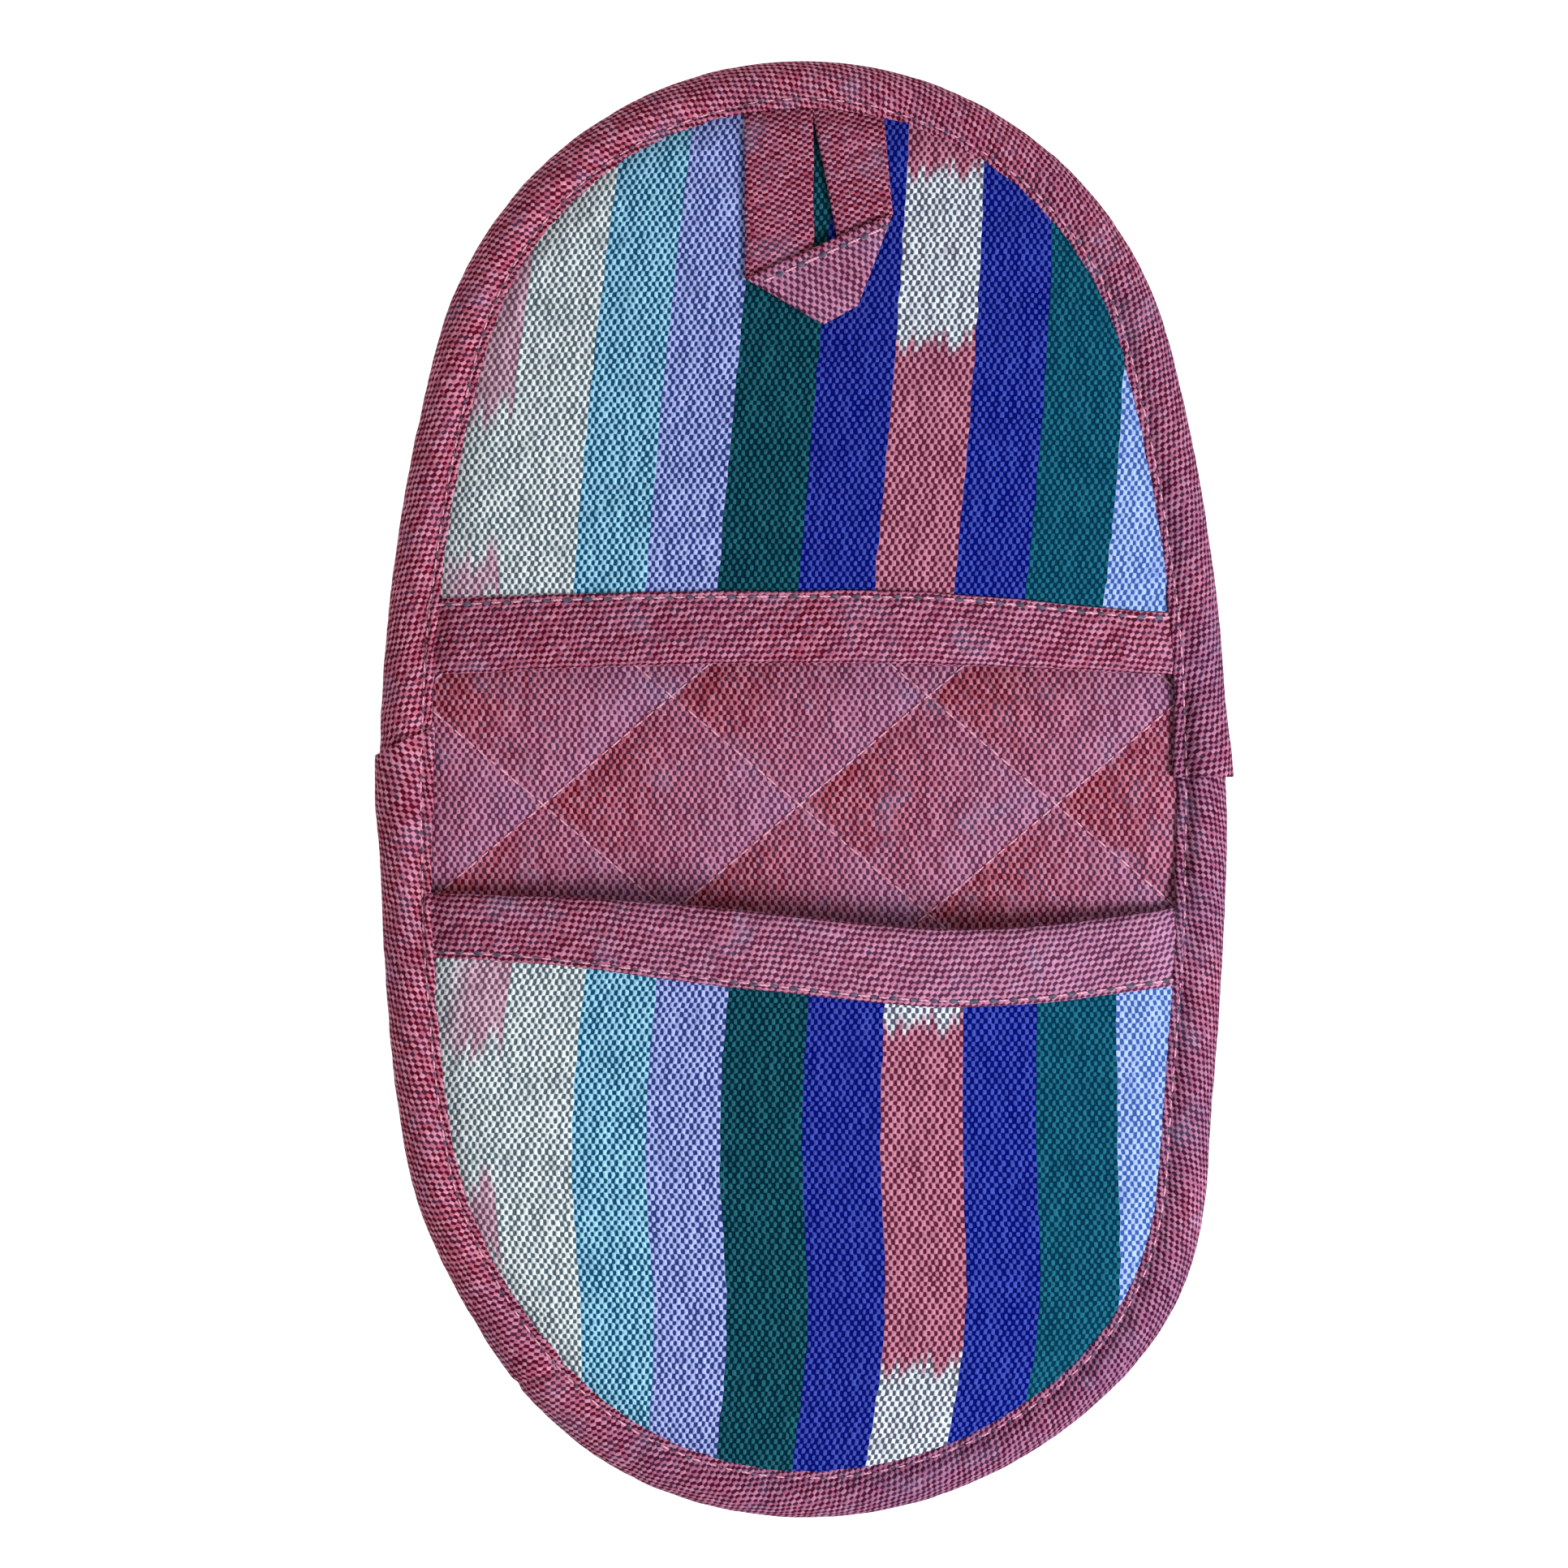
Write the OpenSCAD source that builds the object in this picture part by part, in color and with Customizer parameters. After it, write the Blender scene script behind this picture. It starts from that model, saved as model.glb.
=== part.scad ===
// Two-pocket pinch mitt: a quilted oval pad with a finger pocket and a thumb pocket.
// It lies flat with its pockets up. +Y is the finger end, X runs across the mitt,
// and z = 0 is the back, which it rests on.

/* [Mitt] */
// Length over the edge binding
mitt_l = 261.8; // [215:0.2:330]
// Width over the edge binding
mitt_w = 152.4; // [126:0.2:184]
// How much smaller the finger end's radius is than half the width
finger_end_tuck = 8.2; // [4:0.1:14]
// How much smaller the thumb end's radius is than half the width
thumb_end_tuck = 3.7; // [3:0.1:14]

/* [Cloth and wadding] */
// Thickness of the cover cloth
cloth_t = 0.6; // [0.4:0.05:1]
// Thickness of the wadding in the pad
pad_wadding_t = 5.4; // [4:0.1:8]
// Thickness of the wadding in a pocket
pocket_wadding_t = 1.2; // [0.8:0.1:3]
// Thickness of the pocket lining
lining_t = 0.4; // [0.3:0.05:1]

/* [Binding] */
// Width of the edge binding on each face
binding_w = 9.3; // [7:0.1:13]
// Thickness of the folded binding tape
binding_t = 0.8; // [0.5:0.05:1.2]
// Flat strip along the binding's inner edge, where it is stitched down
binding_land = 3.2; // [2.4:0.1:4]
// Height of the pad where it is squeezed at its very edge
edge_h = 3; // [2.6:0.1:4]

/* [Pockets] */
// From the middle of the mitt to the mouth of the finger pocket
finger_mouth_y = 22.8; // [18:0.1:40]
// From the middle of the mitt to the mouth of the thumb pocket
thumb_mouth_y = 22.8; // [18:0.1:40]
// Height of the space inside a pocket, at the middle of its mouth
hollow_h = 8; // [6:0.1:14]
// Width of the hem that binds a pocket's mouth
hem_w = 12.3; // [8:0.1:18]
// Thickness of the hem tape
hem_t = 0.8; // [0.5:0.05:1.2]
// From the hem's far edge to its row of stitches
hem_stitch_in = 1; // [0.6:0.1:3]
// Clearance between a pocket and the pieces that it moves past
pocket_gap = 0.3; // [0.2:0.05:0.6]

/* [Folds] */
// From the middle of the mitt to each fold line of the palm
fold_y = 12; // [8:0.5:15]
// Gap between the pieces on the two sides of a fold line
fold_gap = 0.3; // [0.2:0.05:0.6]

/* [Stitching] */
// Width of a sewn thread
thread_w = 0.5; // [0.3:0.05:0.8]
// Height of a sewn thread over the cloth
thread_h = 0.25; // [0.15:0.05:0.4]
// From the binding's inner edge to its row of stitches
edge_stitch_in = 1.7; // [1:0.1:2]
// Width of a quilted diamond
diamond_w = 46; // [20:0.5:70]
// Length of a quilted diamond
diamond_l = 39; // [20:0.5:70]
// Sideways place of one crossing of the quilting
diamond_x = -0.7; // [-20:0.1:20]
// Lengthways place of that crossing
diamond_y = -2.8; // [-20:0.1:20]

/* [Hanging loop] */
// Width of the loop's tape
tape_w = 12.2; // [8:0.1:14]
// Thickness of the loop's tape
tape_t = 0.9; // [0.5:0.05:1.2]
// From the loop's root to its folded tip
loop_l = 37.2; // [32:0.2:44]
// Sideways place of the left leg's outer edge
loop_x = -10.6; // [-14:0.1:-8]
// Gap between the two legs at the root
leg_gap = 0.9; // [0.6:0.1:3]
// How far the right leg leans out, in degrees
leg_lean = 7; // [4:0.5:10]
// Tilt of the fold at the loop's tip, in degrees
fold_tilt = 32; // [26:0.5:36]
// From the flap's upper edge to its row of stitches
loop_stitch_in = 2.3; // [1:0.1:4]

/* [Hidden] */

// Number of straight steps in a side arc, in an end arc and in the arch of a mouth
side_steps = 5;
end_steps = 18;
arch_steps = 12;

half_l = mitt_l / 2;
half_w = mitt_w / 2;
// Longer than anything that is cut
reach = mitt_l + mitt_w;

// The pad: its thickness, and the height of the binding over it
pad_t = pad_wadding_t + 2 * cloth_t;
binding_top = pad_t + binding_t;
// Width over which the back cover steps up to go under the binding
step_w = 1.2;
// Where the pad's top bends down towards its squeezed edge, and the slope of that bend
bend_inset = binding_w - binding_land;
bend_slope = (pad_t - edge_h) / (bend_inset - binding_t);

// The pockets: where their rims rest, how far they are set in, and their heights
pocket_z = pad_t + thread_h + pocket_gap;
pocket_inset = binding_w + pocket_gap + hem_t;
layers_t = cloth_t + pocket_wadding_t + lining_t;
far_h = layers_t + pocket_gap;
mouth_h = hollow_h + hem_t + layers_t;

maroon = [0.62, 0.36, 0.46];
stripe_blue = [0.45, 0.60, 0.80];
natural = [0.86, 0.84, 0.80];
wadding_white = [0.95, 0.94, 0.92];
thread_pink = [0.94, 0.68, 0.78];

// ---- Outline ----

// Each half of the outline has two long side arcs that run smoothly into one end arc.
function end_r(tuck) = half_w - tuck;
function end_y(tuck) = half_l - end_r(tuck);
function side_r(tuck) = (pow(half_w, 2) - pow(end_r(tuck), 2) + pow(end_y(tuck), 2)) / (2 * tuck);

// One half of the outline, from the +X side over the end to the -X side, every arc moved in by inset
function half_outline(tuck, inset) =
    let (r = end_r(tuck) - inset,
         big_r = side_r(tuck) - inset,
         centre_x = half_w - side_r(tuck),
         turn = atan2(end_y(tuck), -centre_x),
         side = [for (k = [0 : side_steps])
                    let (t = turn * k / side_steps)
                    [centre_x + big_r * cos(t), big_r * sin(t)]],
         end = [for (k = [1 : end_steps - 1])
                    let (t = turn + (180 - 2 * turn) * k / end_steps)
                    [r * cos(t), end_y(tuck) + r * sin(t)]],
         far_side = [for (k = [side_steps : -1 : 0]) [-side[k][0], side[k][1]]])
    concat(side, end, far_side);

// The whole outline, counter-clockwise: the finger half, then the thumb half turned over
function outline(inset) =
    let (thumb = half_outline(thumb_end_tuck, inset))
    concat(half_outline(finger_end_tuck, inset),
           [for (k = [len(thumb) - 2 : -1 : 1]) [thumb[k][0], -thumb[k][1]]]);

// Half of the width at a distance y from the middle of the mitt
function side_x(tuck, inset, y) =
    half_w - side_r(tuck) + sqrt(pow(side_r(tuck) - inset, 2) - y * y);

// A solid whose surface runs through one ring of the outline for each [inset, z] of the profile.
// A closed profile makes a hoop. An open one is capped at its first and last rings.
module round_the_edge(profile, closed = false) {
    rings = [for (p = profile) [for (q = outline(p[0])) [q[0], q[1], p[1]]]];
    n = len(rings[0]);
    count = len(rings);
    walls = [for (j = [0 : count - (closed ? 1 : 2)], k = [0 : n - 1])
                let (next_j = (j + 1) % count, next_k = (k + 1) % n)
                [next_j * n + k, next_j * n + next_k, j * n + next_k, j * n + k]];
    caps = [[for (k = [0 : n - 1]) k],
            [for (k = [n - 1 : -1 : 0]) (count - 1) * n + k]];
    polyhedron(points = [for (r = rings) for (p = r) p],
               faces = closed ? walls : concat(walls, caps),
               convexity = 6);
}

// Each keeps the part of its children on one side of the fold lines, or between them.
module finger_side() intersection() {
    children();
    translate([-reach, fold_y + fold_gap, -reach]) cube(2 * reach);
}
module thumb_side() intersection() {
    children();
    translate([-reach, -fold_y - fold_gap - 2 * reach, -reach]) cube(2 * reach);
}
module palm_band() intersection() {
    children();
    translate([-reach, -fold_y, -reach]) cube([2 * reach, 2 * fold_y, 2 * reach]);
}
module left_half() intersection() {
    children();
    translate([-2 * reach, -reach, -reach]) cube(2 * reach);
}
module right_half() intersection() {
    children();
    translate([0, -reach, -reach]) cube(2 * reach);
}

// ---- Layers of the pad, each drawn whole and cut at the fold lines ----

module front_cover() color(maroon)
    round_the_edge([[bend_inset, pad_t - cloth_t], [binding_t, edge_h - cloth_t],
                    [binding_t, edge_h], [bend_inset, pad_t]]);

module pad_wadding() color(wadding_white)
    round_the_edge([[binding_w + step_w, cloth_t], [binding_w, binding_t + cloth_t],
                    [binding_t, binding_t + cloth_t], [binding_t, edge_h - cloth_t],
                    [bend_inset, pad_t - cloth_t]]);

module back_cover() color(maroon)
    round_the_edge([[binding_w + step_w, 0], [binding_w, binding_t], [binding_t, binding_t],
                    [binding_t, binding_t + cloth_t], [binding_w, binding_t + cloth_t],
                    [binding_w + step_w, cloth_t]]);

// The tape folded round the edge, as thick over the bend as it is where it lies flat
module edge_binding() {
    rise = binding_t * sqrt(1 + bend_slope * bend_slope);
    bend_out = (rise - binding_t) / bend_slope;
    color(maroon)
        round_the_edge([[binding_w, 0], [binding_t, 0], [0, binding_t],
                        [0, edge_h + rise - binding_t * bend_slope],
                        [bend_inset - bend_out, binding_top], [binding_w, binding_top],
                        [binding_w, pad_t], [bend_inset, pad_t], [binding_t, edge_h],
                        [binding_t, binding_t], [binding_w, binding_t]], closed = true);
}

// The row of stitching that holds the binding down
module edge_thread() color(thread_pink)
    translate([0, 0, binding_top])
        linear_extrude(thread_h)
            difference() {
                polygon(outline(binding_w - edge_stitch_in - thread_w / 2));
                polygon(outline(binding_w - edge_stitch_in + thread_w / 2));
            }

// The quilting: two sets of slanting rows, which cross at the corners of the diamonds
module quilting_thread() {
    slant = atan2(diamond_l, diamond_w);
    rows = ceil((mitt_w / diamond_w + mitt_l / diamond_l) / 2);
    color(thread_pink)
        translate([0, 0, pad_t])
            linear_extrude(thread_h)
                intersection() {
                    polygon(outline(binding_w + pocket_gap));
                    union()
                        for (k = [-rows : rows], way = [-1, 1])
                            translate([diamond_x + k * diamond_w, diamond_y])
                                rotate(way * slant)
                                    square([2 * reach, thread_w], center = true);
                }
}

// ---- Pockets, drawn at the finger end ----

// A low arch that stands on the floor, from its springing height at the sides to its crown
function arch(half_span, spring_z, crown_z) =
    concat([[-half_span, 0], [half_span, 0]],
           [for (k = [0 : arch_steps])
               let (x = half_span * (1 - 2 * k / arch_steps))
               [x, spring_z + (crown_z - spring_z) * cos(90 * x / half_span)]]);

// The solid form of a pocket at a depth below its cover: an arch that flattens to the far edge.
// It starts a little before the mouth, so that its layers can be cut there.
module pocket_form(tuck, mouth_y, depth) {
    start_y = mouth_y - 2 * hem_t;
    hull() {
        linear_extrude(pocket_z + far_h - depth)
            intersection() {
                polygon(half_outline(tuck, pocket_inset + depth));
                translate([-reach, start_y]) square(2 * reach);
            }
        translate([0, start_y, 0])
            mirror([0, 1, 0])
                rotate([90, 0, 0])
                    linear_extrude(0.01)
                        polygon(arch(side_x(tuck, pocket_inset + depth, start_y),
                                     pocket_z + far_h - depth, pocket_z + mouth_h - depth));
    }
}

// What lies between two depths of the form, from y_from to y_to, clear of the pad
module pocket_layer(tuck, mouth_y, outside, inside, y_from, y_to = reach)
    intersection() {
        difference() {
            pocket_form(tuck, mouth_y, outside);
            pocket_form(tuck, mouth_y, inside);
        }
        translate([-reach, y_from, pocket_z]) cube([2 * reach, y_to - y_from, reach]);
    }

module pocket_cover(tuck, mouth_y) color(stripe_blue)
    pocket_layer(tuck, mouth_y, 0, cloth_t, mouth_y);

module pocket_wadding(tuck, mouth_y) color(wadding_white)
    pocket_layer(tuck, mouth_y, cloth_t, cloth_t + pocket_wadding_t, mouth_y);

module pocket_lining(tuck, mouth_y) color(natural)
    pocket_layer(tuck, mouth_y, cloth_t + pocket_wadding_t, layers_t, mouth_y);

// The tape folded over the mouth: a leaf outside, a leaf inside, and a turn across the edge
module pocket_hem(tuck, mouth_y) color(maroon)
    difference() {
        pocket_layer(tuck, mouth_y, -hem_t, layers_t + hem_t, mouth_y - hem_t, mouth_y - hem_t + hem_w);
        pocket_layer(tuck, mouth_y, 0, layers_t, mouth_y);
    }

// A row of thread across the outside of the hem, that stops short of the pocket's sides
module hem_thread(tuck, mouth_y) {
    row_y = mouth_y - hem_t + hem_w - hem_stitch_in;
    half_span = side_x(tuck, pocket_inset, row_y) - 2 * hem_t;
    color(thread_pink)
        intersection() {
            pocket_layer(tuck, mouth_y, -hem_t - thread_h, -hem_t,
                         row_y - thread_w / 2, row_y + thread_w / 2);
            translate([-half_span, 0, 0]) cube([2 * half_span, reach, reach]);
        }
}

// ---- Hanging loop ----

// The loop's root, at the far end of the finger pocket, and the slope of the pocket there
loop_y = half_l - pocket_inset;
loop_z = pocket_z + far_h;
pocket_slope = atan2(mouth_h - far_h, loop_y - finger_mouth_y);

// Lays its children on the pocket, where their y runs from the root to the loop's tip
module on_the_pocket()
    translate([0, loop_y, loop_z])
        mirror([0, 1, 0])
            rotate([pocket_slope, 0, 0])
                translate([0, 0, pocket_gap])
                    children();

// The tape runs down the left leg, folds back up to the right across the front,
// and folds again to run up the leaning right leg.
flap_rise = 90 - 2 * fold_tilt;
left_fold = [loop_x, loop_l - tape_w * tan(fold_tilt)];
tip = [loop_x + tape_w, loop_l];
inner_x = tip[0] + leg_gap;
outer_x = inner_x + tape_w / cos(leg_lean);

// Where an edge of the flap that leaves from p meets an edge of the right leg with its root at x
function leg_meets(p, x) =
    let (y = (p[1] - (x - p[0]) * tan(flap_rise)) / (1 + tan(flap_rise) * tan(leg_lean)))
    [x + y * tan(leg_lean), y];

module hanging_loop() color(maroon)
    on_the_pocket() {
        linear_extrude(tape_t) {
            polygon([[loop_x, 0], [tip[0], 0], tip, left_fold]);
            polygon([[inner_x, 0], [outer_x, 0], leg_meets(left_fold, outer_x), leg_meets(tip, inner_x)]);
        }
        translate([0, 0, tape_t])
            linear_extrude(tape_t)
                polygon([left_fold, leg_meets(left_fold, outer_x), leg_meets(tip, inner_x), tip]);
    }

// The row of stitches along the flap's upper edge, set in from both of its folds
module loop_thread() {
    flap_l = norm(leg_meets(left_fold, outer_x) - left_fold);
    color(thread_pink)
        on_the_pocket()
            translate([left_fold[0], left_fold[1], 2 * tape_t])
                rotate(-flap_rise)
                    translate([2 * loop_stitch_in, loop_stitch_in, 0])
                        cube([flap_l - 4 * loop_stitch_in, thread_w, thread_h]);
}

// ---- The whole mitt ----

palm_band() front_cover();  // palm_front_cover
palm_band() pad_wadding();  // palm_wadding
palm_band() back_cover();  // palm_back_cover
palm_band() quilting_thread();  // palm_quilting_thread
left_half() palm_band() edge_binding();  // palm_left_binding
right_half() palm_band() edge_binding();  // palm_right_binding
palm_band() edge_thread();  // palm_edge_thread

finger_side() front_cover();  // finger_front_cover
finger_side() pad_wadding();  // finger_wadding
finger_side() back_cover();  // finger_back_cover
finger_side() quilting_thread();  // finger_quilting_thread
finger_side() edge_binding();  // finger_edge_binding
finger_side() edge_thread();  // finger_edge_thread

thumb_side() front_cover();  // thumb_front_cover
thumb_side() pad_wadding();  // thumb_wadding
thumb_side() back_cover();  // thumb_back_cover
thumb_side() quilting_thread();  // thumb_quilting_thread
thumb_side() edge_binding();  // thumb_edge_binding
thumb_side() edge_thread();  // thumb_edge_thread

pocket_cover(finger_end_tuck, finger_mouth_y);  // finger_pocket_cover
pocket_wadding(finger_end_tuck, finger_mouth_y);  // finger_pocket_wadding
pocket_lining(finger_end_tuck, finger_mouth_y);  // finger_pocket_lining
pocket_hem(finger_end_tuck, finger_mouth_y);  // finger_pocket_hem
hem_thread(finger_end_tuck, finger_mouth_y);  // finger_hem_thread

mirror([0, 1, 0]) pocket_cover(thumb_end_tuck, thumb_mouth_y);  // thumb_pocket_cover
mirror([0, 1, 0]) pocket_wadding(thumb_end_tuck, thumb_mouth_y);  // thumb_pocket_wadding
mirror([0, 1, 0]) pocket_lining(thumb_end_tuck, thumb_mouth_y);  // thumb_pocket_lining
mirror([0, 1, 0]) pocket_hem(thumb_end_tuck, thumb_mouth_y);  // thumb_pocket_hem
mirror([0, 1, 0]) hem_thread(thumb_end_tuck, thumb_mouth_y);  // thumb_hem_thread

hanging_loop();
loop_thread();
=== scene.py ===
# %% [markdown]
# An oven mitt, the kind with two pockets that face each other: fingers in one, thumb in the other.
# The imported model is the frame. Every piece below is made round it, in metres, so nothing has to be
# fitted afterwards.

# %% The frame
import math

import bmesh
import bpy
import numpy as np
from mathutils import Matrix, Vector
from mathutils.bvhtree import BVHTree


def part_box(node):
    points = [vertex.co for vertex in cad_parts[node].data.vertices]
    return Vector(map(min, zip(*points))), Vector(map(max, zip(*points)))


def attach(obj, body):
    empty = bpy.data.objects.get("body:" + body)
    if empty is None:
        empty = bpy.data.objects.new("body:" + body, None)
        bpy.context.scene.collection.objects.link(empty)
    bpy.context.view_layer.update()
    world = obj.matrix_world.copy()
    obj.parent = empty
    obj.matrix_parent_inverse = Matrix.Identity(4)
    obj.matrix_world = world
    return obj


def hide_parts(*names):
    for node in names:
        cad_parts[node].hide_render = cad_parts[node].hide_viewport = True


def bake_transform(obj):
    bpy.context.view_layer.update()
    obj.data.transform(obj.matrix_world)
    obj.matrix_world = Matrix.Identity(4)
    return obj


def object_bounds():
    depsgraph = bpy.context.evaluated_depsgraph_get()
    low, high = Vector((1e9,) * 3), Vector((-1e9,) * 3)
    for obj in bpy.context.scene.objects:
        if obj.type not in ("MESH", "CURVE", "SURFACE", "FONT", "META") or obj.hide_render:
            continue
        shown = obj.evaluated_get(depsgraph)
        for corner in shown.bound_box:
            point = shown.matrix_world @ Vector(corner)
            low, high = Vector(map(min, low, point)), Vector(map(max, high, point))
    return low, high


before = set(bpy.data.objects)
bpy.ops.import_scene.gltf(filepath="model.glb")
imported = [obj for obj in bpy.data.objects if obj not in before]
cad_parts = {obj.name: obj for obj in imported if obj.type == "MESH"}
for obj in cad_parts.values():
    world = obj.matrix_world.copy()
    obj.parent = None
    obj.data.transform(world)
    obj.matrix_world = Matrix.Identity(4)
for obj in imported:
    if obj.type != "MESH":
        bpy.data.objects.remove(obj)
cad_low, cad_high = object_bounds()
scene = bpy.context.scene
MM = 0.001
half_l = cad_high.y
half_w = cad_high.x
print(f"frame: {2 * half_w / MM:.1f} x {2 * half_l / MM:.1f} mm, {len(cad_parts)} nodes")

# %% [markdown]
# The outline of the mitt is two long side curves that run into a round end, and the thumb end is a
# little fuller than the finger end. Everything sewn follows it: the binding, the pockets' far
# edges, the rows of stitches. So it is worked out once, as the arcs a pattern cutter would draw.

# %% The outline
ENDS = {"finger": 1, "thumb": -1}  # each end of the mitt, and the sign of its y
end_tuck = {1: 8.2 * MM, -1: 3.7 * MM}  # how much narrower each end is than the middle


def end_numbers(side):
    """The radius of an end arc, the height of its centre, and the radius of the side arcs."""
    end_r = half_w - end_tuck[side]
    end_y = half_l - end_r
    side_r = (half_w**2 - end_r**2 + end_y**2) / (2 * end_tuck[side])
    return end_r, end_y, side_r


def half_width(y, inset):
    """Half of the mitt's width at y, with the outline moved in by inset."""
    y = np.asarray(y, float)
    width = np.zeros_like(y)
    for side in ENDS.values():
        end_r, end_y, side_r = end_numbers(side)
        far = np.abs(y)
        join = end_y * (1 + (end_r - inset) / (side_r - end_r))
        along_side = half_w - side_r + np.sqrt(np.maximum((side_r - inset) ** 2 - far**2, 0))
        round_end = np.sqrt(np.maximum((end_r - inset) ** 2 - (far - end_y) ** 2, 0))
        here = np.where(far <= join, along_side, round_end)
        width = np.where((y >= 0) == (side == 1), here, width)
    return width


def inset_at(x, y):
    """How far inside the outline a point lies."""
    x, y = np.abs(np.asarray(x, float)), np.asarray(y, float)
    inset = np.zeros(np.broadcast(x, y).shape)
    for side in ENDS.values():
        end_r, end_y, side_r = end_numbers(side)
        far = np.abs(y)
        in_end = (far - end_y) * (side_r - half_w) > x * end_y
        here = np.where(
            in_end,
            end_r - np.hypot(x, far - end_y),
            side_r - np.hypot(x + side_r - half_w, far),
        )
        inset = np.where((y >= 0) == (side == 1), here, inset)
    return inset


def outline_arcs():
    """The outline's six arcs from +X counter-clockwise: centre x, centre y, radius, first angle, last."""
    arcs = []
    for side, start in ((1, 0.0), (-1, math.pi)):
        end_r, end_y, side_r = end_numbers(side)
        turn = math.atan2(end_y, side_r - half_w)
        across = (half_w - side_r) * side
        arcs.append((across, 0.0, side_r, start, start + turn))
        arcs.append((0.0, side * end_y, end_r, start + turn, start + math.pi - turn))
        arcs.append((-across, 0.0, side_r, start + math.pi - turn, start + math.pi))
    return arcs


ARCS = outline_arcs()
ARC_ENDS = np.cumsum([0.0] + [r * (b - a) for _, _, r, a, b in ARCS])
round_trip = ARC_ENDS[-1]
half_trip = ARC_ENDS[3]


def rim_at(along):
    """Points on the outline at these distances along it, and the outward directions there."""
    along = np.mod(np.asarray(along, float), round_trip)
    which = np.clip(np.searchsorted(ARC_ENDS, along, side="right") - 1, 0, 5)
    table = np.array(ARCS)[which]
    angle = table[..., 3] + (along - ARC_ENDS[which]) / table[..., 2]
    out = np.stack([np.cos(angle), np.sin(angle)], -1)
    return table[..., :2] + out * table[..., 2:3], out


print(f"outline: {round_trip / MM:.0f} mm round, {half_trip / MM:.0f} mm of it round the fingers")

# %% [markdown]
# A few hand tools. Every cloth piece here is a closed mesh of quads in a plain numpy grid, because
# a grid is easy to bend by a formula, easy to give to the cloth solver, and carries the weave's
# own map: u counts across the warp threads and v along them, both in metres.

# %% Hand tools
def smooth(t):
    """A soft step from 0 to 1."""
    t = np.clip(t, 0, 1)
    return t * t * (3 - 2 * t)


def bump_at(distance, width):
    """A soft bump: 1 at distance 0, fading over about that width."""
    return np.exp(-((distance / width) ** 2))


def ripple(x, y, size, seed, waves=6):
    """A gentle unevenness from -1 to 1: a few waves of about that size, in seeded directions."""
    draw = np.random.default_rng(seed)
    total = np.zeros(np.broadcast(x, y).shape)
    for _ in range(waves):
        way = draw.uniform(0, 2 * math.pi)
        length = size * draw.uniform(0.7, 1.6)
        total += np.sin((x * math.cos(way) + y * math.sin(way)) * 2 * math.pi / length + draw.uniform(0, 6))
    return total / waves


def make_piece(name, points, faces, uv=None):
    """A mesh object from points and faces, smooth, facing outwards, with its weave map."""
    mesh = bpy.data.meshes.new(name)
    mesh.from_pydata(np.asarray(points, float).tolist(), [], [list(map(int, f)) for f in faces])
    mesh.shade_smooth()
    bm = bmesh.new()
    bm.from_mesh(mesh)
    bmesh.ops.recalc_face_normals(bm, faces=bm.faces)
    for end in [f for f in bm.faces if len(f.verts) > 4]:
        for edge in end.edges:
            edge.smooth = False
    bm.to_mesh(mesh)
    bm.free()
    piece = bpy.data.objects.new(name, mesh)
    scene.collection.objects.link(piece)
    if uv is not None:
        lay_weave(piece, *uv)
    return piece


def lay_weave(piece, u, v):
    """Writes the weave map, one pair of numbers for each point."""
    mesh = piece.data
    layer = mesh.uv_layers.get("weave") or mesh.uv_layers.new(name="weave")
    corner = np.zeros(len(mesh.loops), int)
    mesh.loops.foreach_get("vertex_index", corner)
    pair = np.stack([np.asarray(u)[corner], np.asarray(v)[corner]], -1)
    layer.data.foreach_set("uv", pair.astype(np.float32).ravel())


def slanted(s, w, degrees):
    """The weave map of a tape cut at a slant, from the distances along it and across it."""
    a = math.radians(degrees)
    return (-s * math.sin(a) + w * math.cos(a)).ravel(), (s * math.cos(a) + w * math.sin(a)).ravel()


def paint_points(piece, name, values):
    """Writes one number for each point, which a finish can read by its name."""
    layer = piece.data.attributes.get(name) or piece.data.attributes.new(name, "FLOAT", "POINT")
    layer.data.foreach_set("value", np.asarray(values, np.float32))


def points_of(piece):
    """The mesh's points as an array."""
    co = np.zeros(len(piece.data.vertices) * 3)
    piece.data.vertices.foreach_get("co", co)
    return co.reshape(-1, 3)


def move_to(piece, co):
    """Puts the mesh's points at these places."""
    piece.data.vertices.foreach_set("co", np.asarray(co, float).ravel())
    piece.data.update()


def bake_modifiers(piece):
    """Turns the piece's live modifiers into its plain mesh."""
    view = bpy.context.evaluated_depsgraph_get()
    done = bpy.data.meshes.new_from_object(piece.evaluated_get(view), depsgraph=view)
    piece.modifiers.clear()
    piece.data = done
    done.shade_smooth()
    return piece


def finer(piece):
    """One step of subdivision, applied."""
    step = piece.modifiers.new("finer", "SUBSURF")
    step.levels = 1
    step.render_levels = 1
    return bake_modifiers(piece)


def ring_faces(rows, around):
    """Faces of a tube of rows x around points, closed around and capped at both ends."""
    faces = []
    for r in range(rows - 1):
        for k in range(around):
            n = (k + 1) % around
            faces.append([r * around + k, r * around + n, (r + 1) * around + n, (r + 1) * around + k])
    faces.append(list(range(around)))
    faces.append([(rows - 1) * around + k for k in range(around)])
    return faces


def two_layers(x, y, top, under):
    """The points of a grid at two heights, one layer after the other."""
    return np.concatenate([np.stack([x, y, z], -1).reshape(-1, 3) for z in (top, under)])


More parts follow.
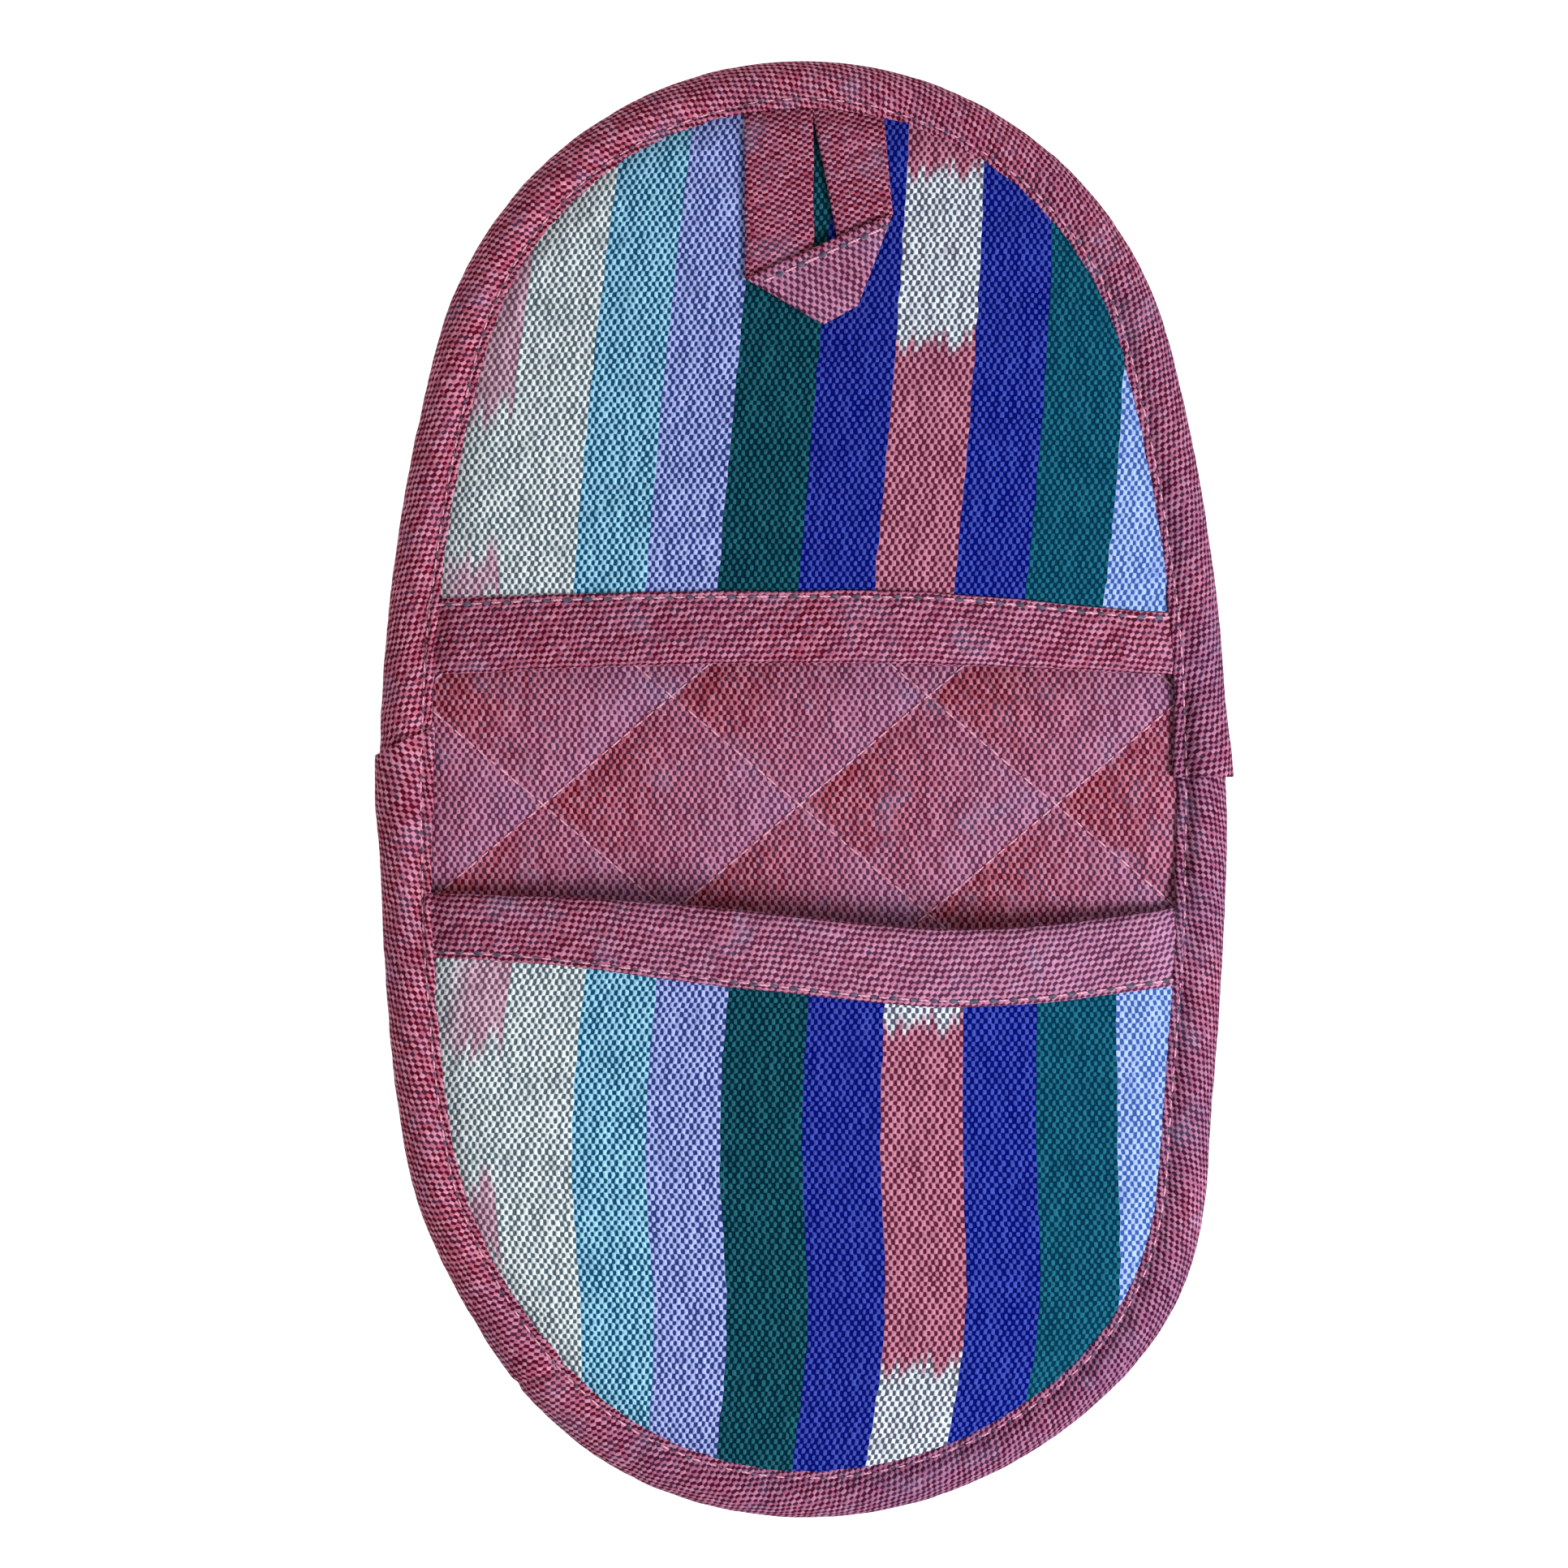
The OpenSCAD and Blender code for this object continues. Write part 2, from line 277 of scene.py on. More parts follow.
def bag(nx, ny, keep):
    """Faces of two layers over one grid, joined all round. keep says which cells of the grid are cloth."""
    layer = nx * ny
    faces = []
    for r in range(ny - 1):
        for c in range(nx - 1):
            if not keep[r, c]:
                continue
            corner = [r * nx + c, r * nx + c + 1, (r + 1) * nx + c + 1, (r + 1) * nx + c]
            faces.append(corner)
            faces.append([layer + k for k in reversed(corner)])
            beside = [(r - 1, c), (r, c + 1), (r + 1, c), (r, c - 1)]
            for k, (rr, cc) in enumerate(beside):
                inside = 0 <= rr < ny - 1 and 0 <= cc < nx - 1 and keep[rr, cc]
                if not inside:
                    a, b = corner[k], corner[(k + 1) % 4]
                    faces.append([b, a, layer + a, layer + b])
    return faces


def used_only(points, faces, *more):
    """Drops the points that no face uses, and renumbers the faces."""
    used = np.unique(np.concatenate([np.asarray(f) for f in faces]))
    number = np.full(len(points), -1)
    number[used] = np.arange(len(used))
    return [points[used], [number[np.asarray(f)] for f in faces], *[np.asarray(m)[used] for m in more]]


def half_of(piece, name, axis, at, side):
    """A copy of one side of a closed piece, cut flat there and closed, with a hard edge at the cut."""
    copy = piece.copy()
    copy.data = piece.data.copy()
    copy.name = name
    copy.data.name = name
    scene.collection.objects.link(copy)
    bm = bmesh.new()
    bm.from_mesh(copy.data)
    place = [0.0, 0.0, 0.0]
    place[axis] = at
    way = [0.0, 0.0, 0.0]
    way[axis] = float(side)
    bmesh.ops.bisect_plane(
        bm, geom=[*bm.verts, *bm.edges, *bm.faces], dist=1e-7, plane_co=place, plane_no=way, clear_inner=True
    )
    rim = [e for e in bm.edges if e.is_boundary]
    bmesh.ops.holes_fill(bm, edges=rim, sides=0)
    for e in rim:
        e.smooth = False
    bm.to_mesh(copy.data)
    bm.free()
    return copy


def drop(piece):
    """Removes a piece that was only a step on the way."""
    bpy.data.objects.remove(piece)


print("tools ready")

# %% [markdown]
# Dyes are measured on cloth as the screen shows them, so each is turned into the linear light
# that the shader wants. Node trees are built with two short helpers, one for any node and one for
# sums, so that a finish can be read from top to bottom.

# %% Dyes and node helpers
def dye(red, green, blue):
    """A dye given as 0 to 255 on screen, as linear light."""
    linear = [c / 255 / 12.92 if c <= 10 else ((c / 255 + 0.055) / 1.055) ** 2.4 for c in (red, green, blue)]
    return (*linear, 1.0)


def plug(tree, socket, value):
    """Joins a socket to another, or sets its number."""
    if isinstance(value, bpy.types.NodeSocket):
        tree.links.new(value, socket)
    else:
        socket.default_value = value


def put(tree, kind, inputs=None, **settings):
    """Adds a node, sets its properties, and joins or sets its inputs."""
    node = tree.nodes.new(kind)
    for name, value in settings.items():
        setattr(node, name, value)
    for name, value in (inputs or {}).items():
        plug(tree, node.inputs[name], value)
    return node


def fill(node, **values):
    """Sets a node's inputs by name, with _ for a space."""
    for name, value in values.items():
        node.inputs[name.replace("_", " ")].default_value = value


def new_finish(name):
    """A material with nodes: itself, its tree and its shader."""
    finish = bpy.data.materials.new(name)
    finish.use_nodes = True
    return finish, finish.node_tree, finish.node_tree.nodes["Principled BSDF"]


def math_node(tree, operation, *values):
    """A Math node."""
    return put(tree, "ShaderNodeMath", dict(enumerate(values)), operation=operation).outputs[0]


def plus(tree, first, second):
    """The sum of two numbers."""
    return math_node(tree, "ADD", first, second)


def minus(tree, first, second):
    """The difference of two numbers."""
    return math_node(tree, "SUBTRACT", first, second)


def times(tree, first, second):
    """The product of two numbers."""
    return math_node(tree, "MULTIPLY", first, second)


def soft_step(tree, value, low, high):
    """0 below low, 1 above high, smooth between."""
    inputs = {0: value, 1: low, 2: high}
    return put(tree, "ShaderNodeMapRange", inputs, interpolation_type="SMOOTHSTEP").outputs[0]


def blend_dyes(tree, share, first, second, mode="MIX"):
    """Mixes two colours."""
    inputs = {0: share, 6: first, 7: second}
    return put(tree, "ShaderNodeMix", inputs, data_type="RGBA", blend_type=mode).outputs[2]


def join_xyz(tree, x, y, z=0.0):
    """Three numbers as one vector."""
    return put(tree, "ShaderNodeCombineXYZ", {0: x, 1: y, 2: z}).outputs[0]


def cloudy(tree, vector, scale, detail=2.0, rough=0.5):
    """A noise around 0.5, on the given map."""
    inputs = {"Vector": vector, "Scale": scale, "Detail": detail, "Roughness": rough}
    node = put(tree, "ShaderNodeTexNoise", inputs, noise_dimensions="3D")
    return node.outputs[0], node.outputs[1]


def steps_of(tree, value, stops, steps=True):
    """A colour ramp with a colour from each place on, or a smooth run between them."""
    node = put(tree, "ShaderNodeValToRGB", {0: value})
    ramp = node.color_ramp
    ramp.interpolation = "CONSTANT" if steps else "LINEAR"
    while len(ramp.elements) < len(stops):
        ramp.elements.new(1.0)
    for element, (place, colour) in zip(ramp.elements, stops):
        element.position = place
        element.color = colour
    return node.outputs[0]


print("node helpers ready")

# %% [markdown]
# All the cloth of the mitt is one plain weave: each warp thread goes over one weft thread and
# under the next, so what shows is a chequer of small long bumps with dark gaps between. The product
# of two cosines has just that pattern, high on every second crossing and low on the others. It is
# one node group on the weave map, so every piece of cloth gets the same threads at the same size.

# %% The weave
warp_pitch = 0.674 * MM
pick_pitch = 0.977 * MM


def weave_group():
    """Node group: the weave map in, and out the share of warp on top, a height, and random numbers."""
    tree = bpy.data.node_groups.new("plain_weave", "ShaderNodeTree")
    face = tree.interface
    face.new_socket("Weave map", in_out="INPUT", socket_type="NodeSocketVector")
    for name in ("Warp on top", "Height", "Thread random", "Bump random", "Warp place"):
        face.new_socket(name, in_out="OUTPUT", socket_type="NodeSocketFloat")
    came = put(tree, "NodeGroupInput").outputs[0]
    goes = put(tree, "NodeGroupOutput")
    _, wander = cloudy(tree, came, 260.0, 2.0)
    parts = put(tree, "ShaderNodeSeparateXYZ", {0: came})
    off = put(tree, "ShaderNodeSeparateXYZ", {0: wander})
    drift = [times(tree, minus(tree, off.outputs[k], 0.5), 1.3) for k in (0, 1)]
    warp = plus(tree, math_node(tree, "DIVIDE", parts.outputs[0], warp_pitch), drift[0])
    pick = plus(tree, math_node(tree, "DIVIDE", parts.outputs[1], pick_pitch), drift[1])
    waves = [math_node(tree, "COSINE", times(tree, count, math.pi)) for count in (warp, pick)]
    over = times(tree, *waves)
    slub, _ = cloudy(tree, join_xyz(tree, warp, times(tree, pick, 0.12)), 0.9, 2.0)
    slub = minus(tree, slub, 0.5)
    low = minus(tree, -0.28, times(tree, slub, 1.3))
    on_top = soft_step(tree, over, low, plus(tree, low, 0.58))
    fibre, _ = cloudy(tree, join_xyz(tree, times(tree, warp, 5.0), times(tree, pick, 1.3)), 1.0, 1.0)
    height = plus(tree, over, times(tree, minus(tree, fibre, 0.5), 0.5))
    nearest = [math_node(tree, "ROUND", warp), math_node(tree, "ROUND", pick)]
    thread = put(tree, "ShaderNodeTexWhiteNoise", {"W": nearest[0]}, noise_dimensions="1D")
    cell = {"Vector": join_xyz(tree, *nearest)}
    crossing = put(tree, "ShaderNodeTexWhiteNoise", cell, noise_dimensions="2D")
    draws = [node.outputs["Value"] for node in (thread, crossing)]
    for k, result in enumerate([on_top, height, *draws, times(tree, nearest[0], warp_pitch)]):
        plug(tree, goes.inputs[k], result)
    return tree


WEAVE = weave_group()


def new_cloth(name):
    """A cotton finish with the weave plugged in: material, tree, shader, weave node, weave map."""
    finish, tree, shader = new_finish(name)
    fill(shader, Roughness=0.86, Specular_IOR_Level=0.04)
    place = put(tree, "ShaderNodeUVMap", uv_map="weave").outputs[0]
    weave = put(tree, "ShaderNodeGroup", node_tree=WEAVE)  # its inputs appear with its tree
    plug(tree, weave.inputs[0], place)
    return finish, tree, shader, weave, place


def raise_bump(tree, shader, height, strength, depth):
    """Relief on a finish, from a height of 0 to 1."""
    bump = put(tree, "ShaderNodeBump", {"Strength": strength, "Distance": depth, "Height": height})
    plug(tree, shader.inputs["Normal"], bump.outputs[0])


def finish_cloth(tree, shader, weave, colour, depth=0.16 * MM):
    """Gives the cloth its colour, and relief of its threads as a bump of that depth."""
    plug(tree, shader.inputs["Base Color"], colour)
    raise_bump(tree, shader, weave.outputs["Height"], 0.75, depth)


print(f"weave: {25.4 * MM / warp_pitch:.0f} warp threads and {25.4 * MM / pick_pitch:.0f} picks to the inch")

# %% [markdown]
# The maroon cloth has a pink warp over a wine weft, with slate blue showing through in patches
# where the yarn changes. It covers the pad, the hems, the loop and the binding. Two mixes do it:
# one from thread to thread, and one in slow clouds along the cloth. A number painted on the points
# is painted light and shade: where it is high the cloth turns to lighter, more lavender dyes, as if
# lit by the lamp, and where it is low it stays redder, as in shade. So each diamond of the quilting
# is redder at one side and greyer at the other.

# %% Maroon cloth
def maroon_cloth(name, warp_dye, warp_light, weft_dye, slate_share, painted_light_warp, painted_light_weft):
    """The maroon cloth in the dyes of one of its cuts, with the lighter dyes of its painted light."""
    finish, tree, shader, weave, place = new_cloth(name)
    clouds, _ = cloudy(tree, place, 95.0, 3.0, 0.6)
    patch = soft_step(tree, clouds, 0.60 - slate_share, 0.86 - slate_share)
    # painted light and shade: the painted number turns warp and weft to the lighter dyes where the cloth is
    # painted as lit
    painted_light = put(tree, "ShaderNodeAttribute", attribute_name="painted_light").outputs["Fac"]
    draw = weave.outputs["Bump random"]
    yarn = blend_dyes(tree, draw, warp_dye, warp_light)
    yarn = blend_dyes(tree, times(tree, painted_light, 0.7), yarn, painted_light_warp)
    yarn = blend_dyes(tree, times(tree, patch, 0.35), yarn, dye(176, 150, 186))
    weft_dye = blend_dyes(tree, times(tree, painted_light, 0.8), weft_dye, painted_light_weft)
    flecks = soft_step(tree, draw, 0.55, 0.9)
    under = blend_dyes(tree, times(tree, patch, 0.85), weft_dye, dye(84, 74, 104))
    under = blend_dyes(tree, times(tree, flecks, 0.35), under, dye(70, 60, 90))
    colour = blend_dyes(tree, weave.outputs["Warp on top"], under, yarn)
    rough = plus(tree, 0.78, times(tree, draw, 0.14))
    plug(tree, shader.inputs["Roughness"], rough)
    finish_cloth(tree, shader, weave, colour)
    return finish


painted_light_pale_dyes = (dye(196, 150, 192), dye(98, 58, 92))
painted_light_dark_dyes = (dye(124, 90, 136), dye(38, 24, 52))  # the binding's painted light is in darker dyes than the pad's and the tape's
PAD_CLOTH, TAPE_CLOTH, BINDING_CLOTH = [
    maroon_cloth(f"maroon_{cut}_cloth", *dyes, 0.08, *painted_light_dyes)
    for cut, dyes, painted_light_dyes in (
        ("quilted", (dye(180, 84, 102), dye(214, 132, 154), dye(92, 14, 30)), painted_light_pale_dyes),
        ("tape", (dye(174, 82, 110), dye(214, 138, 166), dye(82, 8, 30)), painted_light_pale_dyes),
        ("binding", (dye(190, 92, 120), dye(228, 150, 178), dye(88, 10, 32)), painted_light_dark_dyes),
    )
]
print("maroon cloth:", PAD_CLOTH.name, TAPE_CLOTH.name, BINDING_CLOTH.name)

# %% [markdown]
# The pockets are cut from striped ikat. The stripes run with the warp, so the stripe a thread
# belongs to depends only on its place across the cloth, and the edge between two stripes is
# stepped thread by thread. Ikat yarn is dyed in patches before weaving. Each thread slips a little,
# so the patches end in feathered teeth. A random shift for each thread gives those teeth.

# %% Striped cloth
stripe_edges = [0.0, 12.5, 25.1, 38.8, 52.3, 66.1, 80.1, 93.7]  # in mm from the white stripe's right edge
stripe_from, stripe_to = -45.0, 135.0  # the span of the ramp across the stripes, in mm
stripe_warps = [
    dye(240, 250, 254), dye(164, 222, 250), dye(178, 192, 250), dye(34, 104, 118),
    dye(66, 80, 180), dye(204, 132, 158), dye(66, 82, 184), dye(32, 110, 134), dye(174, 198, 252),
]
stripe_wefts = [
    dye(84, 100, 110), dye(16, 76, 112), dye(44, 58, 126), dye(0, 38, 54),
    dye(1, 10, 106), dye(90, 30, 52), dye(1, 10, 106), dye(0, 50, 74), dye(56, 90, 162),
]
stripe_bumps = [0.9, 1.0, 1.0, 2.9, 2.9, 1.0, 2.9, 2.9, 1.0]  # how small the light bumps are
ikat_white = dye(228, 242, 250)
ikat_pink = dye(226, 176, 200)


def stripe_stops(dyes):
    """The ramp stops for a list of stripe dyes."""
    places = [0.0] + [(e - stripe_from) / (stripe_to - stripe_from) for e in stripe_edges]
    return list(zip(places, dyes))


def on_length(spans, soft):
    """Ramp stops along the mitt: 1 for each span of y in mm, 0 elsewhere, with edges that soft."""
    stops = [(0.0, (0, 0, 0, 1))]
    for low, high in spans:
        for place, level in ((low - soft, 0), (low + soft, 1), (high - soft, 1), (high + soft, 0)):
            stops.append(((place + 140) / 280, (level, level, level, 1)))
    return stops


def striped_cloth():
    """The striped ikat."""
    finish, tree, shader, weave, place = new_cloth("striped_ikat_cloth")
    across = minus(tree, weave.outputs["Warp place"], stripe_from * MM)
    across = math_node(tree, "DIVIDE", across, (stripe_to - stripe_from) * MM)
    warp = steps_of(tree, across, stripe_stops(stripe_warps))
    weft = steps_of(tree, across, stripe_stops(stripe_wefts))
    parts = put(tree, "ShaderNodeSeparateXYZ", {0: place})
    teeth, _ = cloudy(tree, join_xyz(tree, weave.outputs["Warp place"], 0.0), 210.0, 1.0)
    slip = times(tree, minus(tree, teeth, 0.5), 15 * MM)
    jump = times(tree, minus(tree, weave.outputs["Thread random"], 0.5), 5.0 * MM)
    along = plus(tree, parts.outputs[1], plus(tree, slip, jump))
    along = math_node(tree, "DIVIDE", plus(tree, along, 140 * MM), 280 * MM)
    white_spans = [(-130, -102.5), (-41.0, -30.0), (80.0, 110.5)]
    is_white = steps_of(tree, along, on_length(white_spans, 1.2), steps=False)
    in_coral = [(p, (k == 5,) * 3 + (1,)) for k, p in enumerate([s[0] for s in stripe_stops(stripe_warps)])]
    in_coral = steps_of(tree, across, in_coral)
    share = times(tree, is_white, in_coral)
    warp = blend_dyes(tree, share, warp, ikat_white)
    weft = blend_dyes(tree, share, weft, dye(86, 84, 104))
    pink_spans = [(-85, -71), (-46, -28), (33.0, 41.0), (67, 98)]
    is_pink = steps_of(tree, along, on_length(pink_spans, 2.2), steps=False)
    left = weave.outputs["Warp place"]
    pink_edge = plus(tree, -13.6 * MM, times(tree, slip, 0.35))
    left_of_it = math_node(tree, "LESS_THAN", left, pink_edge)
    reach = times(tree, soft_step(tree, left, -27 * MM, -20 * MM), left_of_it)
    share = times(tree, times(tree, is_pink, reach), 0.85)
    warp = blend_dyes(tree, share, warp, ikat_pink)
    weft = blend_dyes(tree, share, weft, dye(120, 74, 100))
    shade = plus(tree, 0.86, times(tree, weave.outputs["Bump random"], 0.22))
    warp = blend_dyes(tree, 1.0, warp, join_xyz(tree, shade, shade, shade), "MULTIPLY")
    clouds, _ = cloudy(tree, place, 160.0, 3.0, 0.6)
    faded = times(tree, soft_step(tree, clouds, 0.5, 0.8), 0.35)
    warp = blend_dyes(tree, faded, warp, weft)
    small = [(p, (b / 3, b / 3, b / 3, 1)) for (p, _), b in zip(stripe_stops(stripe_warps), stripe_bumps)]
    small = times(tree, steps_of(tree, across, small), 3.0)
    on_top = math_node(tree, "POWER", weave.outputs["Warp on top"], small)
    colour = blend_dyes(tree, on_top, weft, warp)
    finish_cloth(tree, shader, weave, colour)
    return finish


STRIPES = striped_cloth()
print(f"striped cloth: {len(stripe_edges) + 1} stripes")

# %% [markdown]
# The lining inside the pockets is plain undyed cotton, and the sewing thread is a pink polyester
# with a tight twist. Where the needle went in, between two stitches, a dark slate mark is laid on
# the cloth as painted shade in the hole.

# %% Lining, thread and needle holes
def lining_cloth():
    """Undyed cotton."""
    finish, tree, shader, weave, place = new_cloth("natural_lining_cloth")
    yarn = blend_dyes(tree, weave.outputs["Bump random"], dye(214, 205, 186), dye(238, 232, 216))
    seeds, _ = cloudy(tree, place, 700.0, 1.0)
    yarn = blend_dyes(tree, soft_step(tree, seeds, 0.68, 0.74), yarn, dye(150, 124, 92))
    colour = blend_dyes(tree, weave.outputs["Warp on top"], dye(158, 146, 122), yarn)
    finish_cloth(tree, shader, weave, colour, 0.12 * MM)
    return finish


def thread_finish(name, dark, light, twist):
    """Sewing thread, with its plies as slanting bands across the object's own length."""
    finish, tree, shader = new_finish(name)
    fill(shader, Roughness=0.55, Sheen_Weight=0.2)
    place = put(tree, "ShaderNodeTexCoord").outputs["Object"]
    inputs = {"Vector": place, "Scale": twist, "Distortion": 1.5}
    bands = put(tree, "ShaderNodeTexWave", inputs, bands_direction="DIAGONAL")
    plug(tree, shader.inputs["Base Color"], blend_dyes(tree, bands.outputs[1], dark, light))
    raise_bump(tree, shader, bands.outputs[1], 0.5, 0.05 * MM)
    return finish


LINING = lining_cloth()
PINK_THREAD = thread_finish("pink_thread", dye(206, 128, 156), dye(244, 184, 206), 900.0)
# painted shade: dark slate marks for the shade in the needle holes
NEEDLE_HOLE_SHADE = thread_finish("needle_hole_painted_shade", dye(60, 52, 76), dye(96, 86, 116), 300.0)
print("lining and thread ready")

# %% [markdown]
# The pad is two covers of maroon cloth with wadding between, sewn through in diamonds, and only the
# air of the wadding lifts it between the rows. The cloth solver makes that shape: the points on the
# rows and round the rim are held, and a little pressure blows the rest up. The grid's step is a
# twentieth of a diamond each way, so every row runs exactly through the grid's points.

# %% The quilted pad
diamond_w = 46 * MM
diamond_l = 39 * MM
crossing_x = -0.7 * MM
crossing_y = -2.8 * MM
cells = 20
column = np.arange(-34, 35)
row = np.arange(-67, 69)
pad_x, pad_y = np.meshgrid(crossing_x + column * diamond_w / cells, crossing_y + row * diamond_l / cells)
on_a_row = ((column[None] + row[:, None]) % cells == 0) | ((column[None] - row[:, None]) % cells == 0)


def rows_crossed(x, y):
    """How many rows of each slant lie between a point and the middle crossing."""
    across, along = (x - crossing_x) / diamond_w, (y - crossing_y) / diamond_l
    return across + along, across - along


def puff_share(x, y):
    """0 on the quilting rows, 1 in the middle of a diamond."""
    a, b = rows_crossed(x, y)
    return np.abs(np.sin(math.pi * a) * np.sin(math.pi * b)) ** 0.42


def painted_light_on_diamonds(x, y):
    """Painted light and shade: rising across each diamond from its upper left to its lower right side, which
    faces the lamp.
    """
    a, b = rows_crossed(x, y)
    return np.clip(0.7 * np.mod(b, 1) ** 1.3 + 0.4 * np.mod(a, 1) ** 2, 0, 1)


def puff(piece, held, air, most, frames=20):
    """Blows a closed cloth bag up with the cloth solver, and lets no point move further than most."""
    group = piece.vertex_groups.new(name="held")
    group.add([int(k) for k in np.flatnonzero(held)], 1.0, "REPLACE")
    cloth = piece.modifiers.new("air", "CLOTH")
    feel = {
        "quality": 6, "mass": 0.15, "bending_stiffness": 0.3, "use_pressure": True,
        "tension_stiffness": 25, "compression_stiffness": 25, "shear_stiffness": 8,
        "uniform_pressure_force": air, "vertex_group_mass": "held",
    }
    for key, value in feel.items():
        setattr(cloth.settings, key, value)
    cloth.settings.effector_weights.gravity = 0
    cloth.collision_settings.use_collision = False
    cloth.point_cache.frame_start = 1
    cloth.point_cache.frame_end = frames
    before = points_of(piece)
    for number in range(1, frames + 1):
        scene.frame_set(number)
    bake_modifiers(piece)
    scene.frame_set(1)
    piece.vertex_groups.clear()
    moved = points_of(piece) - before
    length = np.linalg.norm(moved, axis=1, keepdims=True)
    move_to(piece, before + moved * np.minimum(1, most / np.maximum(length, 1e-9)))
    print(f"{piece.name}: blown up {np.median(length) / MM:.2f} mm, {length.max() / MM:.2f} mm at most")
    return piece


def quilted_pad():
    """The whole pad, as one closed bag."""
    depth = inset_at(pad_x, pad_y)
    inside = depth > 1.6 * MM
    keep = inside[:-1, :-1] & inside[1:, :-1] & inside[:-1, 1:] & inside[1:, 1:]
    body = smooth((depth - 1 * MM) / (6 * MM))
    lift = puff_share(pad_x, pad_y) * smooth((depth - 7.5 * MM) / (8 * MM))
    front = (3.5 + 1.35 * body + 1.5 * lift) * MM
    back = (2.0 - 1.1 * body - 0.6 * lift) * MM
    points = two_layers(pad_x, pad_y, front, back)
    held = (on_a_row | (depth < 7 * MM)).ravel()
    faces = bag(len(column), len(row), keep)
    points, faces, held = used_only(points, faces, np.concatenate([held, held]))
    pad = make_piece("quilted_pad", points, faces)
    puff(pad, held, 4.0, 0.9 * MM)
    finer(pad)
    co = points_of(pad)
    x, y = co[:, 0], co[:, 1]
    creases = ripple(x, y, 9 * MM, 3) * 0.5 + ripple(x, y, 4.5 * MM, 4) * 0.35
    near_rows = 1 - puff_share(x, y)
    co[:, 2] += creases * (0.08 + 0.3 * near_rows) * MM
    co[:, 2] = np.clip(co[:, 2], 0.05 * MM, 7.2 * MM)
    move_to(pad, co)
    lay_weave(pad, x + 0.054 * y, y)
    # painted light and shade: each diamond lighter on its side toward the lamp, redder on the other
    paint_points(pad, "painted_light", painted_light_on_diamonds(x, y))
    pad.data.materials.append(PAD_CLOTH)
    return pad


PAD = quilted_pad()
print(f"pad: {len(PAD.data.polygons)} faces, {points_of(PAD)[:, 2].max() / MM:.1f} mm thick")

# %% [markdown]
# Each pocket is a thin padded shell: striped cloth outside, lining inside, a little wadding
# between. Its edge is caught under the binding, and from there it rises over a soft shoulder to
# the low arch of its mouth. The mouths aren't straight. The thumb pocket's sags to one side,
# as the real one does, so each mouth has its own gentle line.

# %% Pocket shells
cover_low, cover_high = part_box("finger_pocket_cover")
mouth_y = cover_low.y
crown_z = cover_high.z
far_z = cover_low.z + 2.5 * MM
pocket_inset = half_l - cover_high.y
tucked = 8.4 * MM  # the inset of a pocket's edge, under the binding
seam_z = 7.0 * MM


def mouth_line(x, side):
    """The distance of a pocket's mouth edge from the middle of the mitt."""
    if side == 1:
        return (21.6 + 1.7 * np.maximum(1 - (x / (60 * MM)) ** 2, 0)) * MM
    sag = 4.6 * np.exp(-0.5 * ((x - 30 * MM) / (30 * MM)) ** 2) * (1 - (x / (68 * MM)) ** 4)
    return (20.75 + sag) * MM + 0.0187 * x


def pocket_form(x, y, side):
    """The height of a pocket's outside, and how far up its shoulder a point is."""
    end_r, end_y, _ = end_numbers(side)
    far = end_y + np.sqrt(np.maximum((end_r - pocket_inset) ** 2 - x**2, 0))
    mouth = mouth_line(x, side)
    gone = np.clip((np.abs(y) - mouth) / np.maximum(far - mouth, 5 * MM), 0, 1)
    span = float(half_width(side * mouth_y, pocket_inset))
    arch = np.cos(math.pi / 2 * np.clip(np.abs(x) / span, 0, 1))
    height = far_z + (crown_z - far_z) * arch * (1 - gone)
    shoulder = np.sin(math.pi / 2 * np.clip((inset_at(x, y) - tucked) / (6.5 * MM), 0, 1)) ** 0.9
    return seam_z + (height - seam_z) * shoulder, shoulder


def stripe_place(x, y, side):
    """Where a point of a pocket is across the stripes, which lean and bow a little."""
    xm, t = x / MM, side * y / MM - 35
    if side == 1:
        lean = 0.088 * t + xm / 55 * (0.037 * t - 0.0008 * t**2)
        return (xm - lean + 40.5) * MM
    lean = 0.05 * t + (xm - 8) / 47 * (-0.08 * t + 0.00115 * t**2)
    return (xm + lean + 38.6) * MM


